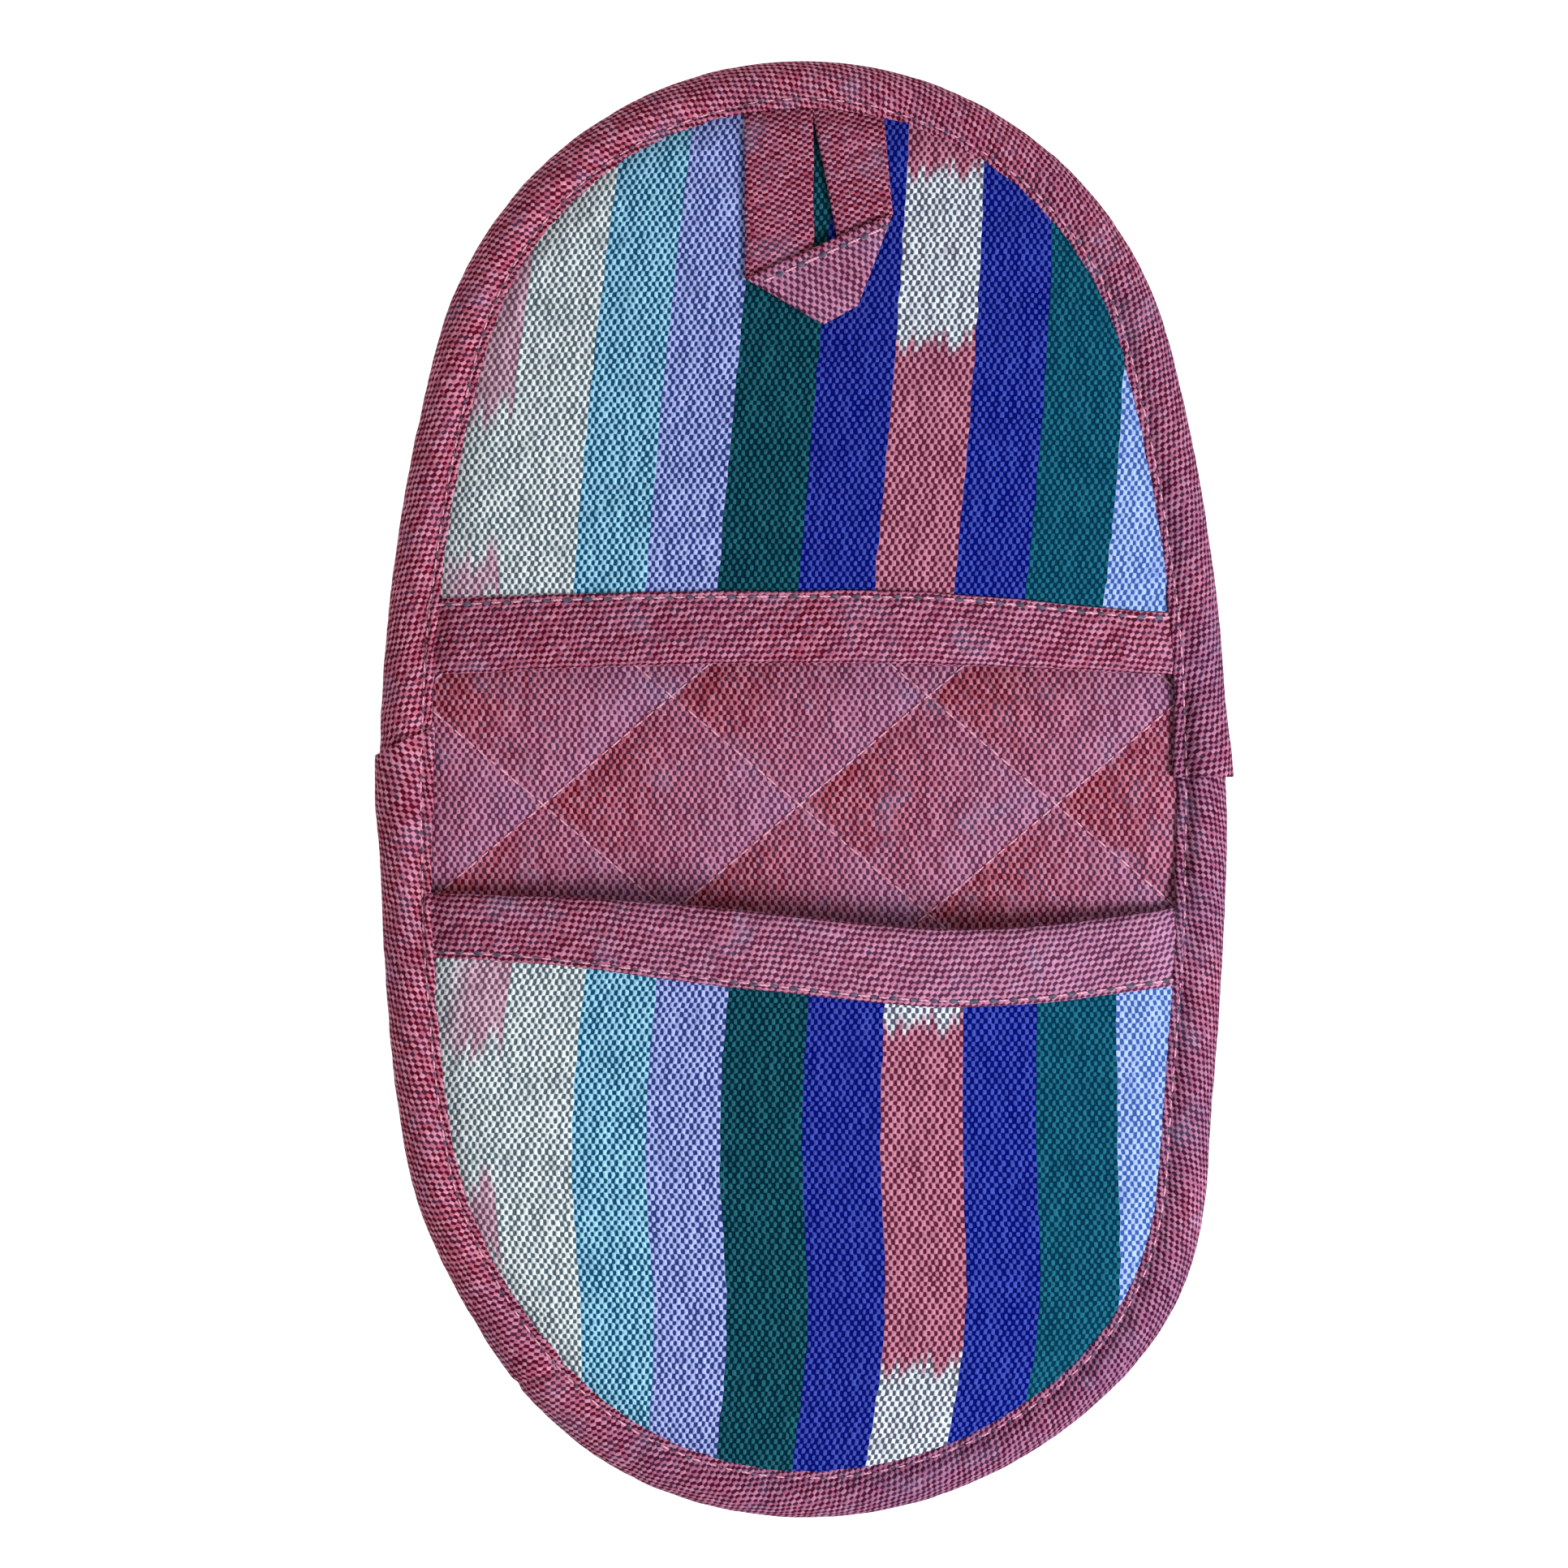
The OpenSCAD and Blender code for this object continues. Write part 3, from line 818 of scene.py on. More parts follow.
def pocket_shell(name, side):
    """One pocket, whole, as a closed bag of cover and lining."""
    columns, rows = 61, 46
    tip = half_l - tucked - 0.15 * MM
    run = np.sin(np.linspace(0, math.pi / 2, rows) * 0.985) / math.sin(math.pi / 2 * 0.985)
    y = mouth_y + (tip - mouth_y) * run[:, None] * np.ones((1, columns))
    x = half_width(side * y, tucked) * np.linspace(-1, 1, columns)[None]
    y = y + (mouth_line(x, side) - mouth_y) * (1 - smooth((y - mouth_y) / (32 * MM)))
    y = side * y
    top, shoulder = pocket_form(x, y, side)
    loft = ripple(x, y, 34 * MM, 11 + side) * 0.35 + ripple(x, y, 13 * MM, 21 + side) * 0.12
    top = top + loft * shoulder * MM
    under = top - (0.5 + 1.5 * shoulder) * MM
    points = two_layers(x, y, top, under)
    faces = bag(columns, rows, np.ones((rows - 1, columns - 1), bool))
    shell = make_piece(name, points, faces)
    shell.data.materials.append(STRIPES)
    shell.data.materials.append(LINING)
    layer = columns * rows
    inner = [min(p.vertices) >= layer or max(p.vertices) >= layer for p in shell.data.polygons]
    shell.data.polygons.foreach_set("material_index", np.array(inner, np.int32))
    rim = np.zeros((rows, columns), bool)
    rim[:2] = rim[-2:] = True
    rim[:, :2] = rim[:, -2:] = True
    puff(shell, np.concatenate([rim.ravel()] * 2), 1.6, 0.7 * MM)
    finer(shell)
    co = points_of(shell)
    lay_weave(shell, stripe_place(co[:, 0], co[:, 1], side), co[:, 1])
    return shell


SHELLS = {label: pocket_shell(f"{label}_pocket_shell", side) for label, side in ENDS.items()}
print("pockets:", *[f"{label} {len(shell.data.polygons)} faces" for label, shell in SHELLS.items()])

# %% [markdown]
# A tape of the maroon cloth, cut on the bias, is folded over each mouth. It is drawn as one
# closed section, a leaf outside, a round turn over the edge and a leaf inside, which is carried
# across the pocket. The heights come from rays cast at the pocket, so the tape always lies on it.

# %% Pocket hems
def heights_on(piece, places, above=True):
    """The height of the piece's surface at each (x, y), seen from above or from below."""
    bm = bmesh.new()
    bm.from_mesh(piece.data)
    tree = BVHTree.FromBMesh(bm)
    bm.free()
    start, way = (60 * MM, -1) if above else (-20 * MM, 1)
    found = np.full(len(places), np.nan)
    for k, (x, y) in enumerate(places):
        hit = tree.ray_cast(Vector((x, y, start)), Vector((0, 0, way)))[0]
        if hit is not None:
            found[k] = hit.z
    return found


def hem_width(x, side):
    """The width of a hem's outer leaf."""
    if side == 1:
        narrow = 0.6 * smooth((x + 66 * MM) / (60 * MM)) + 1.7 * smooth((x - 20 * MM) / (40 * MM))
        return (12.4 - narrow) * MM
    return (10.6 + 2.2 * smooth((x + 60 * MM) / (50 * MM))) * MM


# Each point of the section: share of the leaf's width, further distance in mm, lift in mm, layer.
hem_section = [
    (1, 0.0, 0.05, "out"), (1, 0.03, 0.55, "out"), (1, -0.3, 0.9, "out"), (1, -0.75, 0.8, "out"),
    (1, -1.05, 0.62, "out"), (1, -1.4, 0.82, "out"), (1, -2.2, 1.02, "out"), (0.65, 0, 1.12, "out"),
    (0.45, 0, 1.12, "out"), (0.25, 0, 1.14, "out"), (0.08, 0.3, 1.15, "out"), (0, 0.2, 1.0, "out"),
    (0, -0.5, 0.12, "turn"), (0, -0.9, 0.3, "turn"), (0, -1.05, 0.5, "turn"), (0, -0.9, 0.7, "turn"),
    (0, -0.5, 0.88, "turn"), (0, 0.2, -0.9, "in"), (0.2, 0, -1.0, "in"), (0.5, 0, -1.0, "in"),
    (1, -2.2, -0.9, "in"), (1, -1.4, -0.6, "in"), (1, -1.2, -0.05, "in"), (1, -2.2, 0.25, "in"),
    (0.5, 0, 0.3, "in"), (0.15, 0, 0.35, "in"), (0.15, 0, -0.35, "out"), (0.5, 0, -0.3, "out"),
    (1, -1.0, -0.3, "out"),
]


def pocket_hem(name, shell, side):
    """The tape folded over one pocket's mouth."""
    edge = float(half_width(side * mouth_y, 7.6 * MM))
    across = np.linspace(-edge, edge, 145)

    def level(y, above=True):
        """The pocket's height under the hem at each place across, carried on past its side edges."""
        z = heights_on(shell, np.stack([across, side * y + 0 * across], -1), above)
        found = ~np.isnan(z)
        return np.interp(across, across[found], z[found])

    mouth = mouth_line(across, side)
    width = hem_width(across, side)
    wobble = ripple(across, 0, 16 * MM, 5 + side) * 0.25 * MM
    rings = []
    runs = []
    top_at_edge = level(mouth + 0.5 * MM)
    low_at_edge = level(mouth + 0.5 * MM, above=False)
    fit = 0.6 + 0.4 * smooth((inset_at(across, side * mouth) - 8.7 * MM) / (3.5 * MM))
    gathers = ripple(across, 0, 5 * MM, 31 + side) * 0.12 + ripple(across, 0, 11 * MM, 41 + side) * 0.15
    run = 0.0
    before = None
    for share, further, lift, layer in hem_section:
        forward = share * (width + wobble) + further * MM
        y = mouth + forward
        if layer == "turn":
            z = top_at_edge + 1.0 * MM * fit - (top_at_edge - low_at_edge + 2.0 * MM * fit) * lift
        else:
            z = level(np.maximum(y, mouth + 0.5 * MM), above=layer == "out") + lift * fit * MM
            if layer == "out" and lift > 0.3:
                z = z + gathers * fit * MM
        ring = np.stack([across, side * y, z], -1)
        if before is not None:
            run = run + np.linalg.norm(ring - before, axis=1)
        before = ring
        rings.append(ring)
        runs.append(run * np.ones(len(across)))
    points = np.stack(rings, 1)
    around = len(hem_section)
    faces = ring_faces(len(across), around)
    flat = np.stack(runs, 1)
    s = across[:, None] + 0 * flat
    w = -side * flat
    hem = make_piece(name, points.reshape(-1, 3), faces, slanted(s, w, 35))
    hem.data.materials.append(TAPE_CLOTH)
    finer(hem)
    co = points_of(hem)
    # painted light: each hem lighter toward its right end, the thumb's hem nearer the lamp more so, with a
    # random unevenness
    painted_light_share = 0.28 - 0.14 * side + (0.26 - 0.14 * side) * co[:, 0] / half_w
    paint_points(hem, "painted_light", np.clip(painted_light_share + 0.2 * ripple(co[:, 0], co[:, 1], 30 * MM, 35), 0, 1))
    return hem


HEMS = {label: pocket_hem(f"{label}_pocket_hem_tape", SHELLS[label], side) for label, side in ENDS.items()}
print("hems:", *[f"{label} {len(hem.data.polygons)} faces" for label, hem in HEMS.items()])

# %% [markdown]
# The binding is bias tape too, folded over the pad's rim and sewn through 1.7 mm from its inner
# edge, so it is a soft roll with a groove and a narrow lip. It comes in two strips that overlap at
# the sides. Here it is a section with an inner and an outer face, carried along the outline, with
# small gathers across it where the tape had to go round a curve.

# %% The edge binding
binding_w = 9.3 * MM
stitch_inset = 7.6 * MM
# The section as (inset, height) in mm, over the front, round the rim and along the back, then inside
binding_outside = [
    (9.35, 6.9), (9.05, 7.45), (8.35, 7.5), (7.6, 6.95), (6.8, 7.45), (5.3, 7.95), (3.6, 7.55),
    (2.0, 6.4), (0.7, 4.8), (0.02, 3.2), (0.12, 1.9), (0.8, 0.8), (2.2, 0.22), (4.2, 0.06),
    (6.4, 0.1), (7.6, 0.45), (8.5, 0.1), (9.25, 0.25), (9.4, 0.8),
]
binding_inside = [
    (9.0, 1.15), (7.5, 1.2), (5.0, 1.0), (2.8, 1.15), (1.5, 1.9), (1.05, 3.0), (1.6, 4.4),
    (3.0, 5.7), (5.0, 6.3), (7.2, 6.1), (9.0, 6.45),
]


def round_section(corners, count):
    """A smooth closed line through the section's corners."""
    corners = np.array(corners, float) * MM
    n = len(corners)
    place = np.linspace(0, n, count, endpoint=False)
    k = np.floor(place).astype(int)
    t = (place - k)[:, None]
    p0, p1, p2, p3 = (corners[(k + d) % n] for d in (-1, 0, 1, 2))
    return 0.5 * (
        2 * p1 + (p2 - p0) * t + (2 * p0 - 5 * p1 + 4 * p2 - p3) * t**2 + (3 * p1 - p0 - 3 * p2 + p3) * t**3
    )


around = 56  # points round the section
section = round_section(binding_outside + binding_inside, around)
corners = len(binding_outside) + len(binding_inside)
outside_share = smooth((len(binding_outside) / corners - np.arange(around) / around) * 12)


def binding_strip(name, start, stop, slant, proud, start_tilt=0.0, step=0.8 * MM):
    """A length of binding between two distances along the outline. proud(s) lifts it off the one below."""
    count = int((stop - start) / step) + 1
    share = np.linspace(0, 1, count)[:, None]
    inset, height = section[None, :, 0], section[None, :, 1]
    s = start + (stop - start) * share
    s = s + (inset / binding_w) * start_tilt * (1 - share) ** 6
    centre_inset, centre_z = 5 * MM, 3.7 * MM
    way = np.stack([inset - centre_inset, (height - centre_z) * 1.3], -1)
    way = way / np.linalg.norm(way, axis=-1, keepdims=True)
    gathers = ripple(s + 0.25 * inset, 0, 3.4 * MM, 51) * 0.22 + ripple(s, inset, 8 * MM, 52) * 0.22
    gathers = gathers + ripple(s, 0, 24 * MM, 53) * 0.22
    pinched = s - half_trip - 111.5 * MM - 0.35 * inset  # one deep pucker, low on the left
    gathers = gathers - 1.1 * bump_at(pinched, 1 * MM) + 0.3 * bump_at(pinched, 4 * MM)
    at_loop = smooth((17 * MM - np.abs(s - half_trip / 2 + 2 * MM)) / (5 * MM))
    taut = 1 - 0.8 * at_loop  # pulled flat over the loop's ends
    calm_rim = 0.35 + 0.65 * smooth((inset - 1.0 * MM) / (2.5 * MM))
    gathers = gathers * taut * calm_rim
    push = (gathers * MM + proud(s)) * outside_share[None]
    inset = inset + push * way[..., 0]
    height = height + push * way[..., 1]
    height = np.where(height < 0.02 * MM, 0.02 * MM, height)
    raised = at_loop * smooth((inset - 5.5 * MM) / (2.5 * MM)) * 1.7 * MM
    rim, out = rim_at(s)
    from_middle = np.abs(rim[..., 1])
    over_hem = smooth((from_middle - 19 * MM) / (4 * MM)) * smooth((38 * MM - from_middle) / (5 * MM))
    at_palm = smooth((19 * MM - from_middle) / (5 * MM))
    raised = raised + (over_hem * 1.2 - at_palm * 1.2) * smooth((inset - 5.6 * MM) / (2.8 * MM)) * MM
    height = height + raised * (height > 5 * MM)
    x = rim[..., 0] - out[..., 0] * inset
    y = rim[..., 1] - out[..., 1] * inset
    points = np.stack([x, y, height], -1)
    turn = np.concatenate([[0], np.cumsum(np.linalg.norm(np.diff(section, axis=0), axis=1))])[None] + 0 * s
    faces = ring_faces(count, around)
    strip = make_piece(name, points.reshape(-1, 3), faces, slanted(s, turn, slant))
    strip.data.materials.append(BINDING_CLOTH)
    # painted light and shade: lighter, more lavender on the sides facing the lamp at the lower right, redder
    # on the others, with a random unevenness
    painted_light_share = 0.30 + 0.46 * (0.75 * out[..., 0] - 0.65 * out[..., 1]) + 0.3 * ripple(s, inset, 26 * MM, 54)
    paint_points(strip, "painted_light", np.clip(painted_light_share, 0, 1).ravel())
    return strip


right_join = 2.2 * MM  # how far up the right side the finger strip's end lies, over the thumb strip
left_join = 6.0 * MM  # how far up the left side the thumb strip's end reaches, at the rim


def finger_proud(s):
    """The finger strip lies over the thumb strip at the right join."""
    return 1.15 * MM * bump_at(s - right_join, 9 * MM)


def thumb_proud(s):
    """The thumb strip starts over the finger strip at the left, and ends squeezed under it at the right."""
    over = 0.9 * MM * bump_at(s - half_trip, 9 * MM)
    return over - 0.25 * MM * smooth((s - round_trip + 6 * MM) / (5 * MM))


FINGER_STRIP = binding_strip("finger_strip", right_join, half_trip, 45, finger_proud)
THUMB_STRIP = binding_strip("thumb_strip", half_trip, round_trip + 3.5 * MM, -45, thumb_proud)
STRIP_END = binding_strip(
    "strip_end", half_trip - left_join, half_trip, -45, lambda s: 0.9 * MM + 0 * s, start_tilt=-5.5 * MM
)
print(f"binding: {len(FINGER_STRIP.data.polygons)} + {len(THUMB_STRIP.data.polygons)} faces")

# %% [markdown]
# The hanging loop is one length of folded tape. It runs down from under the binding, folds across
# to the right, and folds again to run back up, so its turn is a pointed flap with the tape's other
# side out. Straps like this are drawn directly: each stretch is a thin slab with rounded edges.

# %% The hanging loop
loop_y = half_l - pocket_inset
tape_t = 1.1 * MM
left_root, left_inner, right_inner, right_root = -10.6 * MM, 1.75 * MM, 1.3 * MM, 14.1 * MM
left_fold = np.array([-10.5, 30.0]) * MM
loop_tip = np.array([3.4, 38.3]) * MM
right_fold = np.array([15.9, 18.2]) * MM
right_low = np.array([9.6, 34.9]) * MM
left_leg_end = np.array([1.9, 36.8]) * MM
right_leg_end = np.array([7.9, 33.4]) * MM


def tape_slab(near_left, near_right, far_left, far_right, rest_on, lift, creases=(), curl=False, seed=0):
    """Points and faces of a slab between four corners (x, distance from the root), lying on a piece."""
    nu, nt = 19, 34
    u = np.linspace(0, 1, nu)[None]
    t = np.linspace(0, 1, nt)[:, None]
    corner = [np.array(c)[None, None] for c in (near_left, near_right, far_left, far_right)]
    left, right, here = (1 - u)[..., None], u[..., None], t[..., None]
    spot = (corner[0] * left + corner[1] * right) * (1 - here)
    spot = spot + (corner[2] * left + corner[3] * right) * here
    x, y = spot[..., 0], loop_y - spot[..., 1]
    y = y + ripple(x, y, 14 * MM, 60 + seed) * 0.12 * MM
    x = x + ripple(x, y, 11 * MM, 70 + seed) * 0.15 * MM
    ground = heights_on(rest_on, np.stack([x, y], -1).reshape(-1, 2)).reshape(x.shape)
    ground = np.where(np.isnan(ground), np.nanmin(ground), ground)
    full = (1 - np.abs(2 * u - 1) ** 10) * (1 - np.abs(2 * t - 1) ** 24)
    full = np.broadcast_to(0.35 + 0.65 * full, x.shape)
    crease = np.zeros_like(x)
    for where, depth in creases:
        crease = crease + depth * bump_at(u - where, 0.035) * MM
    middle = ground + lift + tape_t / 2 + ripple(x, y, 12 * MM, 80 + seed) * 0.1 * MM
    middle = middle - 0.7 * MM * smooth((y - loop_y + 3.2 * MM) / (2.5 * MM))
    if curl:
        down = np.exp(-t / 0.05) + np.exp(-(1 - t) / 0.05)
        middle = middle - down * 0.55 * MM
        full = full * (1 + 0.5 * down)
    top = middle + tape_t / 2 * full - crease
    low = middle - tape_t / 2 * full
    return two_layers(x, y, top, low), bag(nu, nt, np.ones((nt - 1, nu - 1), bool))


def hanging_loop():
    """The loop's two legs and its flap, as one object."""
    root = -1.6 * MM
    left_leg = ((left_root, root), (left_inner, root), left_fold, left_leg_end)
    right_leg = ((right_inner, root), (right_root, root), right_leg_end, right_fold)
    flap_shape = (left_fold, loop_tip, right_fold, right_low)
    left = tape_slab(*left_leg, SHELLS["finger"], 0.4 * MM, [(0.21, 0.25)], seed=1)
    right = tape_slab(*right_leg, SHELLS["finger"], 0.4 * MM, [(0.84, 0.22)], seed=2)
    flap = tape_slab(*flap_shape, SHELLS["finger"], 1.85 * MM, [(0.14, 0.16)], curl=True, seed=3)
    points, faces, u, v = [], [], [], []
    for (co, quads), lean, size in ((left, 11, 1.15), (right, 14, 1.15), (flap, -55, 1.0)):
        shift = sum(len(p) for p in points)
        points.append(co)
        faces += [[shift + k for k in q] for q in quads]
        across, along = slanted(co[:, 0], co[:, 1], lean)
        u.append(size * across)
        v.append(size * along)
    weave_map = (np.concatenate(u), np.concatenate(v))
    loop = make_piece("hanging_loop_tape", np.concatenate(points), faces, weave_map)
    loop.data.materials.append(TAPE_CLOTH)
    finer(loop)
    co = points_of(loop)
    # painted light: the flap is painted lighter and more lavender than the legs, with a random unevenness
    fold_line = loop_y - np.interp(co[:, 0], [left_fold[0], right_fold[0]], [left_fold[1], right_fold[1]])
    painted_light_share = 0.6 * smooth((fold_line - co[:, 1]) / (1.5 * MM)) + 0.15 * ripple(co[:, 0], co[:, 1], 12 * MM, 36)
    paint_points(loop, "painted_light", np.clip(painted_light_share, 0, 1))
    return loop


LOOP = hanging_loop()
print(f"loop: {len(LOOP.data.polygons)} faces")

# %% [markdown]
# Stitches repeat along a path, which is what Geometry Nodes do best. The tree takes the rows as
# edges that lie on the cloth, turns them into curves, puts a point at every stitch and sets a
# small spindle of thread on each. The same tree, shifted by half a stitch, sets the needle
# holes between them. Its inputs are named, so one tree sews every row of the mitt.

# %% The sewing tree
def sewing_tree():
    """Node group: rows of edges in, small spindles set along them out."""
    tree = bpy.data.node_groups.new("sewing", "GeometryNodeTree")
    face = tree.interface
    face.new_socket("Rows", in_out="INPUT", socket_type="NodeSocketGeometry")
    for name in ("Spacing", "Length", "Width", "Height", "Shift"):
        face.new_socket(name, in_out="INPUT", socket_type="NodeSocketFloat")
    face.new_socket("Seed", in_out="INPUT", socket_type="NodeSocketInt")
    face.new_socket("Finish", in_out="INPUT", socket_type="NodeSocketMaterial")
    face.new_socket("Stitches", in_out="OUTPUT", socket_type="NodeSocketGeometry")
    came = put(tree, "NodeGroupInput").outputs
    goes = put(tree, "NodeGroupOutput").inputs
    curve = put(tree, "GeometryNodeMeshToCurve", {0: came["Rows"]}).outputs[0]
    along = {"Curve": curve, "Length": came["Spacing"]}
    every = put(tree, "GeometryNodeResampleCurve", along, mode="LENGTH").outputs[0]
    tangent = put(tree, "GeometryNodeInputTangent").outputs[0]
    ahead = {0: tangent, "Scale": came["Shift"]}
    shift = put(tree, "ShaderNodeVectorMath", ahead, operation="SCALE").outputs[0]
    place = put(tree, "GeometryNodeSetPosition", {"Geometry": every, "Offset": shift}).outputs[0]
    ball = put(tree, "GeometryNodeMeshUVSphere", {"Segments": 6, "Rings": 5, "Radius": 0.5}).outputs[0]
    lying = {"Geometry": ball, "Rotation": (0.0, math.pi / 2, 0.0)}
    lying = put(tree, "GeometryNodeTransform", lying).outputs[0]
    size = join_xyz(tree, came["Length"], came["Width"], came["Height"])
    spindle = put(tree, "GeometryNodeTransform", {"Geometry": lying, "Scale": size}).outputs[0]
    turn = put(tree, "FunctionNodeAlignRotationToVector", {"Vector": tangent}, axis="X").outputs[0]
    draw = put(tree, "FunctionNodeRandomValue", {"Seed": came["Seed"]}, data_type="FLOAT")
    floats = [s for s in draw.inputs if s.type == "VALUE" and s.name in ("Min", "Max")]
    floats[0].default_value = 0.8
    floats[1].default_value = 1.12
    size = next(s for s in draw.outputs if s.type == "VALUE")
    sewn = {"Points": place, "Instance": spindle, "Rotation": turn, "Scale": size}
    sewn = put(tree, "GeometryNodeInstanceOnPoints", sewn).outputs[0]
    real = put(tree, "GeometryNodeRealizeInstances", {0: sewn}).outputs[0]
    painted = {"Geometry": real, "Material": came["Finish"]}
    plug(tree, goes[0], put(tree, "GeometryNodeSetMaterial", painted).outputs[0])
    return tree


SEWING = sewing_tree()


def sew(name, rows, spacing, length, width, height, finish, shift=0.0, seed=1):
    """Runs the sewing tree along rows of points, and returns the stitches as a plain mesh object."""
    rows = [r for r in rows if len(r) > 1]
    points = np.concatenate(rows)
    edges = []
    first = 0
    for r in rows:
        edges += [(first + k, first + k + 1) for k in range(len(r) - 1)]
        first += len(r)
    mesh = bpy.data.meshes.new(name)
    mesh.from_pydata(points.tolist(), edges, [])
    piece = bpy.data.objects.new(name, mesh)
    modifier = piece.modifiers.new("sewing", "NODES")
    modifier.node_group = SEWING
    names = {s.name: s.identifier for s in SEWING.interface.items_tree if s.in_out == "INPUT"}
    values = {"Spacing": spacing, "Length": length, "Width": width, "Height": height, "Shift": shift}
    for key, value in values.items():
        modifier[names[key]] = float(value)
    modifier[names["Seed"]] = seed
    modifier[names["Finish"]] = finish
    scene.collection.objects.link(piece)
    return bake_modifiers(piece)


def sew_with_holes(name, rows, spacing, share=0.66, thick=0.5 * MM, hole=0.8 * MM, seed=1):
    """A row of stitches in pink thread, with dark marks of painted shade for the needle holes between them,
    as one object.
    """
    thread = sew(name, rows, spacing, spacing * share, thick, thick * 0.9, PINK_THREAD, seed=seed)
    # painted shade: dark marks laid where the needle holes are
    size = (hole, hole * 0.66, 0.3 * MM)
    holes = sew(name + "_holes", rows, spacing, *size, NEEDLE_HOLE_SHADE, shift=spacing / 2, seed=seed + 9)
    with bpy.context.temp_override(active_object=thread, selected_editable_objects=[thread, holes]):
        bpy.ops.object.join()
    return thread


print("sewing tree:", len(SEWING.nodes), "nodes")

# %% [markdown]
# Now the rows themselves. A row is a line of points a millimetre apart, dropped onto the cloth by
# rays, so that the thread follows every swell and dip. Rows that cross a fold are kept apart for the
# finger side and the thumb side, because each side's cloth bends at its own fold.

# %% Rows of stitches
fold_cut = crossing_y + diamond_l / cells  # the pad's halves meet on a row of its grid, near y = 0


def laid(pieces, places, above=True, proud=0.1 * MM):
    """Points of a row, at the height of the highest (or lowest) of these pieces there."""
    heights = np.stack([heights_on(p, places, above) for p in pieces])
    z = np.nanmax(heights, axis=0) + proud if above else np.nanmin(heights, axis=0)
    row_points = np.column_stack([places, z])
    return row_points[~np.isnan(z)]


def edge_row(start, stop, above):
    """The row that holds the binding down, between two distances along the outline."""
    s = np.arange(start, stop, 1 * MM)
    rim, out = rim_at(s)
    return laid((FINGER_STRIP, THUMB_STRIP, STRIP_END), rim - out * (stitch_inset + 0.1 * MM), above, 0.0)


def quilting_rows(side, above):
    """The slanting rows on one side of the middle."""
    rows = []
    reach = np.arange(-210, 210) * MM
    slope = math.hypot(diamond_w, diamond_l)
    for k in range(-9, 10):
        for way in (1, -1):
            x = crossing_x + k * diamond_w + reach * diamond_w / slope
            y = crossing_y + way * reach * diamond_l / slope
            inside = (inset_at(x, y) > binding_w + 0.3 * MM) & (np.abs(y) < half_l)
            inside &= side * (y - fold_cut) > 0
            if inside.sum() > 4:
                rows.append(laid((PAD,), np.stack([x, y], -1)[inside], above))
    return rows


def hem_row(hem, side, half):
    """Half of a hem's row of stitches."""
    edge = float(half_width(side * mouth_y, 9.6 * MM))
    x = np.arange(0, edge, 1 * MM) * half
    y = side * (mouth_line(x, side) + hem_width(x, side) - 1.05 * MM)
    return laid((hem,), np.stack([x, y], -1))


flap_run = np.linspace(0.1, 0.9, 24)[:, None]
flap_top = left_fold + (right_fold - left_fold) * flap_run
flap_low = loop_tip + (right_low - loop_tip) * flap_run
flap_places = flap_top + (flap_low - flap_top) * 0.15
flap_places = np.stack([flap_places[:, 0], loop_y - flap_places[:, 1]], -1)

EDGE_SEWING, QUILTING = {}, {}
edge_stitch = (3.1 * MM, 0.6, 0.42 * MM, 0.9 * MM)  # spacing, share of it, thickness, needle hole
quilt_stitch = (2.6 * MM, 2.2 * MM, 0.42 * MM, 0.36 * MM)  # spacing, length, width, height
ends = (("finger", 1, right_join + 1 * MM, half_trip), ("thumb", -1, half_trip, round_trip))
for seed, (label, side, start, stop) in enumerate(ends, 1):
    rows = [edge_row(start, stop, up) for up in (True, False)]
    EDGE_SEWING[label] = sew_with_holes(f"{label}_edge_sewing", rows, *edge_stitch, seed=seed)
for seed, (label, side, start, stop) in enumerate(ends, 3):
    rows = quilting_rows(side, True) + quilting_rows(side, False)
    QUILTING[label] = sew(f"{label}_quilting", rows, *quilt_stitch, PINK_THREAD, seed=seed)
HEM_SEWING = {}
for label, side in ENDS.items():
    for place, half in (("right", 1), ("left", -1)):
        rows = [hem_row(HEMS[label], side, half)]
        name = f"{label}_hem_sewing_{place}"
        HEM_SEWING[label, place] = sew_with_holes(name, rows, 3.5 * MM, hole=1.5 * MM, seed=5 + half)
LOOP_SEWING = sew_with_holes("loop_sewing", [laid((LOOP,), flap_places)], 4.1 * MM, hole=1.6 * MM, seed=8)
print("quilting:", *[f"{label} {len(piece.data.polygons)} faces" for label, piece in QUILTING.items()])

# %% [markdown]
# The real mitt isn't quite true: its lower end swells a little to the right. Every finished piece
# gets the same small sideways lie, so that they stay together. The pad is cut in two near the
# middle and each pocket down its middle, and the frame's nodes that they stand for are hidden.


def sideways(y):
    """The mitt's own lean to the right near its lower end."""
    return 3.0 * MM * bump_at(y + 96 * MM, 25 * MM)


def settle(piece):
    """Gives a finished piece the mitt's lie."""
    co = points_of(piece)
    co[:, 0] += sideways(co[:, 1])
    move_to(piece, co)
    return piece


def bend_at_fold(piece, names):
    """A piece of the pad, the binding or their stitches: gives it the mitt's lie, and hides the nodes it
    stands for.
    """
    settle(piece)
    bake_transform(piece)
    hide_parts(*names)


def lift_with_pocket(piece):
    """Half of a pocket, its hem or its thread: gives it the mitt's lie."""
    settle(piece)
    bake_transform(piece)


for label, side in ENDS.items():
    half = half_of(PAD, f"{label}_side_quilted_pad", 1, fold_cut, side)
    names = [f"{label}_front_cover", f"{label}_wadding", f"{label}_back_cover"]
    if side == 1:
        names += ["palm_front_cover", "palm_wadding", "palm_back_cover"]
    bend_at_fold(half, names)
drop(PAD)

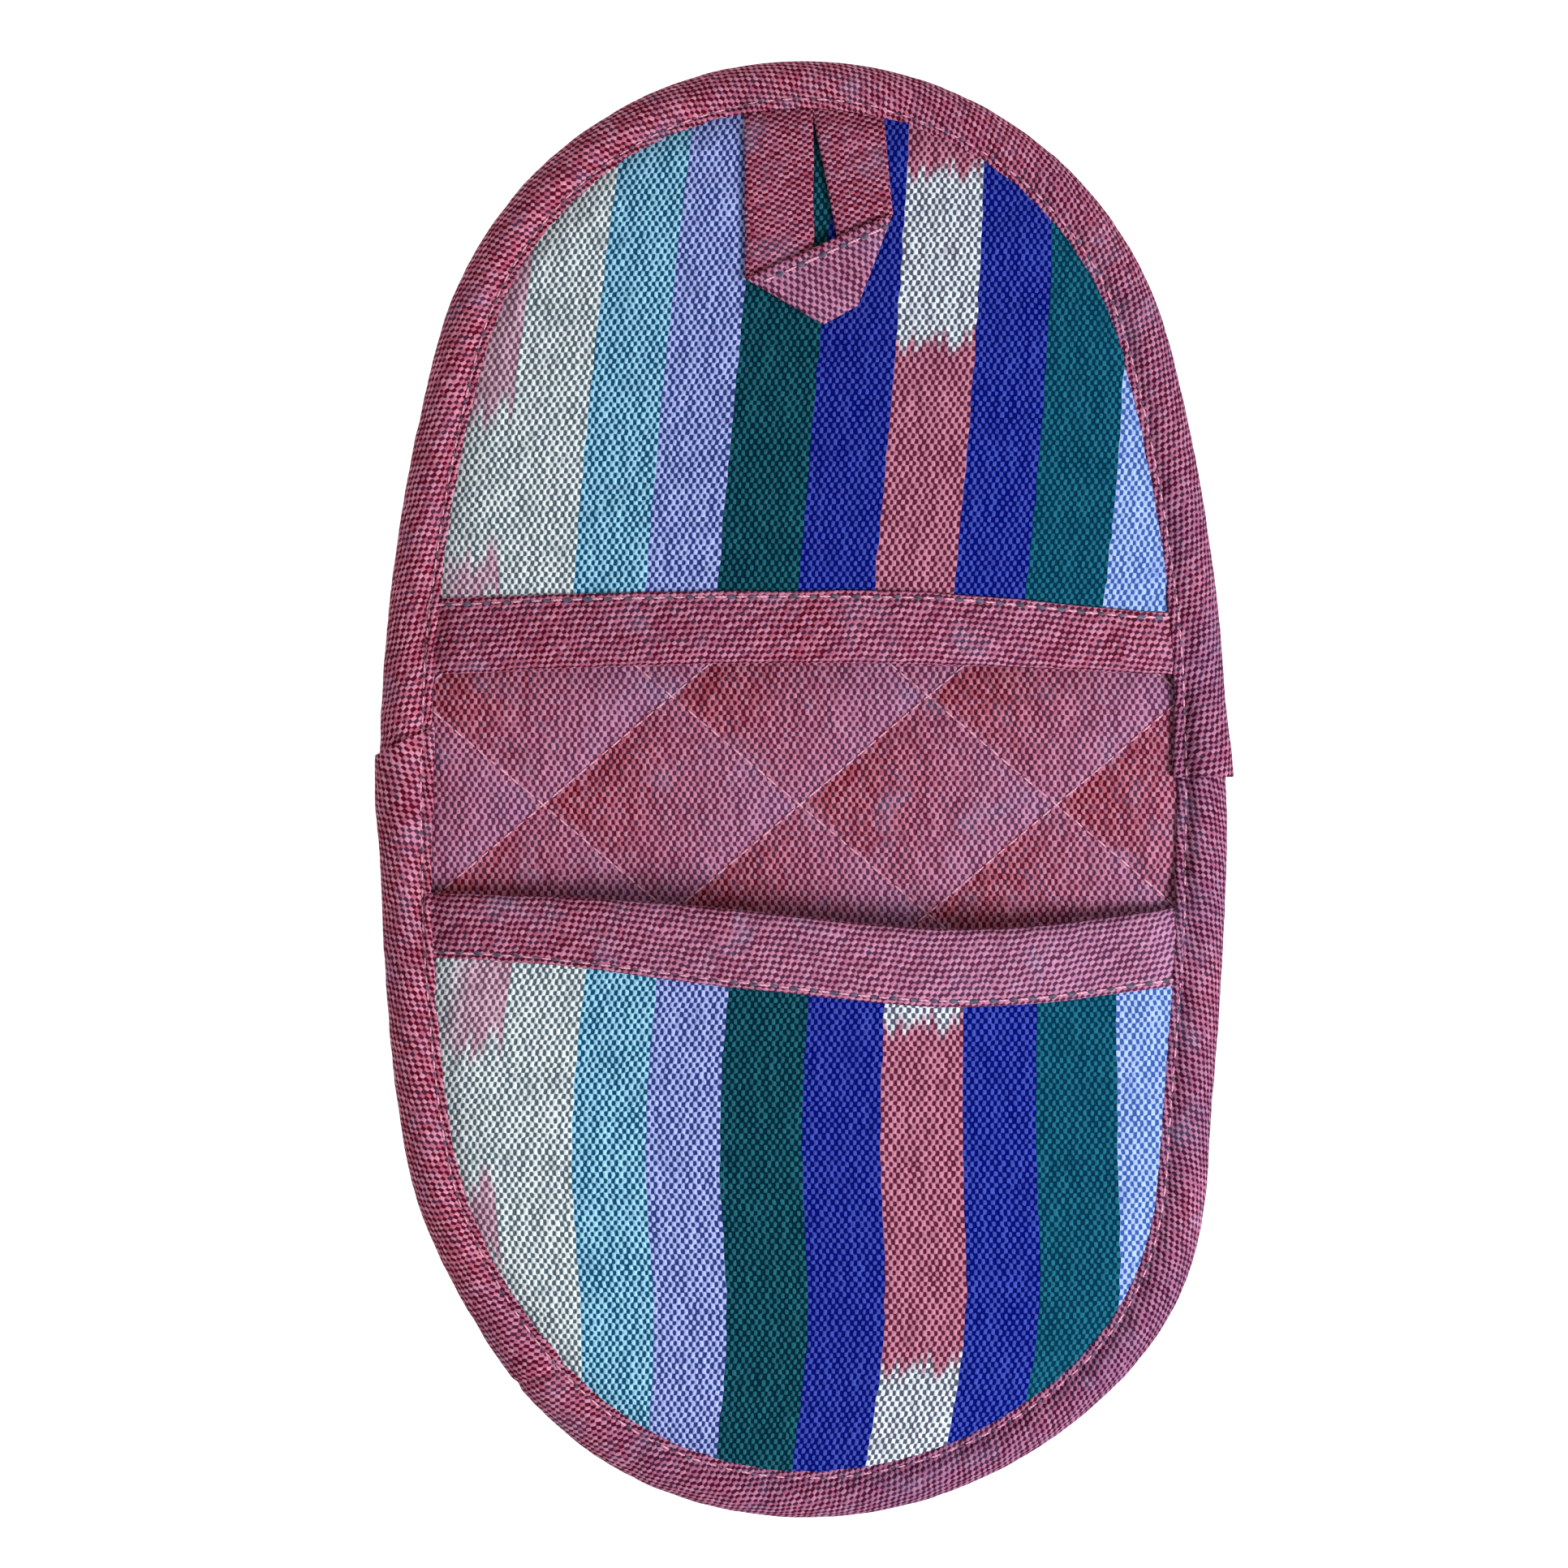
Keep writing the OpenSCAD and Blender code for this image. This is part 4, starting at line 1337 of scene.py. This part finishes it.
for piece, side, length, names in (
    (FINGER_STRIP, 1, 335 * MM, ["finger_edge_binding", "palm_right_binding"]),
    (THUMB_STRIP, -1, 340 * MM, ["thumb_edge_binding", "palm_left_binding"]),
    (STRIP_END, 1, 10 * MM, []),
):
    bend_at_fold(piece, names)
for piece, side, names in (
    (EDGE_SEWING["finger"], 1, ["finger_edge_thread"]),
    (EDGE_SEWING["thumb"], -1, ["thumb_edge_thread", "palm_edge_thread"]),
    (QUILTING["finger"], 1, ["finger_quilting_thread", "palm_quilting_thread"]),
    (QUILTING["thumb"], -1, ["thumb_quilting_thread"]),
):
    bend_at_fold(piece, names)

# %% Pocket halves
for label, side in ENDS.items():
    shell, hem = SHELLS[label], HEMS[label]
    for place, half in (("right", 1), ("left", -1)):
        cloth = half_of(shell, f"{label}_pocket_{place}_half", 0, 0.0, half)
        tape = half_of(hem, f"{label}_hem_{place}_half", 0, 0.0, half)
        thread = HEM_SEWING[label, place]
        for piece, slot in ((cloth, "striped_cloth"), (tape, "binding_cloth"), (thread, "thread")):
            lift_with_pocket(piece)
        if half == 1:
            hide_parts(f"{label}_pocket_cover", f"{label}_pocket_wadding", f"{label}_pocket_lining")
            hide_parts(f"{label}_pocket_hem")
            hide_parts(f"{label}_hem_thread")
    drop(shell)
    drop(hem)

settle(LOOP)
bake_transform(LOOP)
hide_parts("hanging_loop")
settle(LOOP_SEWING)
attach(LOOP_SEWING, "loop")
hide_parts("loop_thread")

# %% [markdown]
# A studio for flat work: the mitt lies as if on clear glass over a light table, which leaves no
# shadow round it and room below for both ends to fold down. A cool soft lamp on the right slants
# across the quilting, a weaker one stands opposite, and a warmer pale sky is all round. The camera
# looks straight down, because the mitt lies flat.

# %% Floor, light and camera
bpy.ops.mesh.primitive_plane_add(size=60.0)
FLOOR = bpy.context.object
FLOOR.name = "pale_table"
FLOOR.location.z = -140 * MM  # far enough below for the fingers and the thumb to fold down
table_paint, _, table_shader = new_finish("pale_table")
fill(table_shader, Base_Color=(0.35, 0.35, 0.35, 1.0), Roughness=0.9, Specular_IOR_Level=0.1)
fill(table_shader, Emission_Color=(1.0, 1.0, 1.0, 1.0), Emission_Strength=0.95)
FLOOR.data.materials.append(table_paint)


def soft_lamp(name, place, width, power):
    """A square lamp that faces the mitt."""
    lamp = bpy.data.lights.new(name, "AREA")
    lamp.size = width
    lamp.energy = power
    holder = bpy.data.objects.new(name, lamp)
    holder.location = place
    holder.rotation_euler = (-Vector(place)).to_track_quat("-Z", "Y").to_euler()
    scene.collection.objects.link(holder)
    return holder


key_lamp = soft_lamp("key_lamp", (0.70, -0.38, 0.82), 0.42, 13.6)
key_lamp.data.color = (0.95, 0.98, 1.0)
soft_lamp("fill_lamp", (-0.8, 0.6, 1.0), 1.2, 2.0)
scene.world = bpy.data.worlds.new("pale_sky")
scene.world.use_nodes = True
sky = scene.world.node_tree.nodes["Background"]
sky.inputs[0].default_value = (1.0, 0.95, 0.94, 1.0)
sky.inputs[1].default_value = 0.36
scene.view_settings.view_transform = "Standard"

camera_data = bpy.data.cameras.new("camera")
camera_data.lens = 100.0
camera_data.sensor_width = 36.0
camera = bpy.data.objects.new("camera", camera_data)
frame_width = 280.1 * MM
mid_height = 8 * MM
camera_height = frame_width * camera_data.lens / camera_data.sensor_width
camera.location = (-3.5 * MM, 0.95 * MM, camera_height + mid_height)
scene.collection.objects.link(camera)
scene.camera = camera
print(f"camera {camera.location.z:.3f} m up, frame {frame_width:.3f} m wide")

# %% [markdown]
# Last, the size of the frame, and the end of the script.

# %% Sizes and finish
print("cad", [round(c / MM, 1) for c in (*cad_low, *cad_high)])
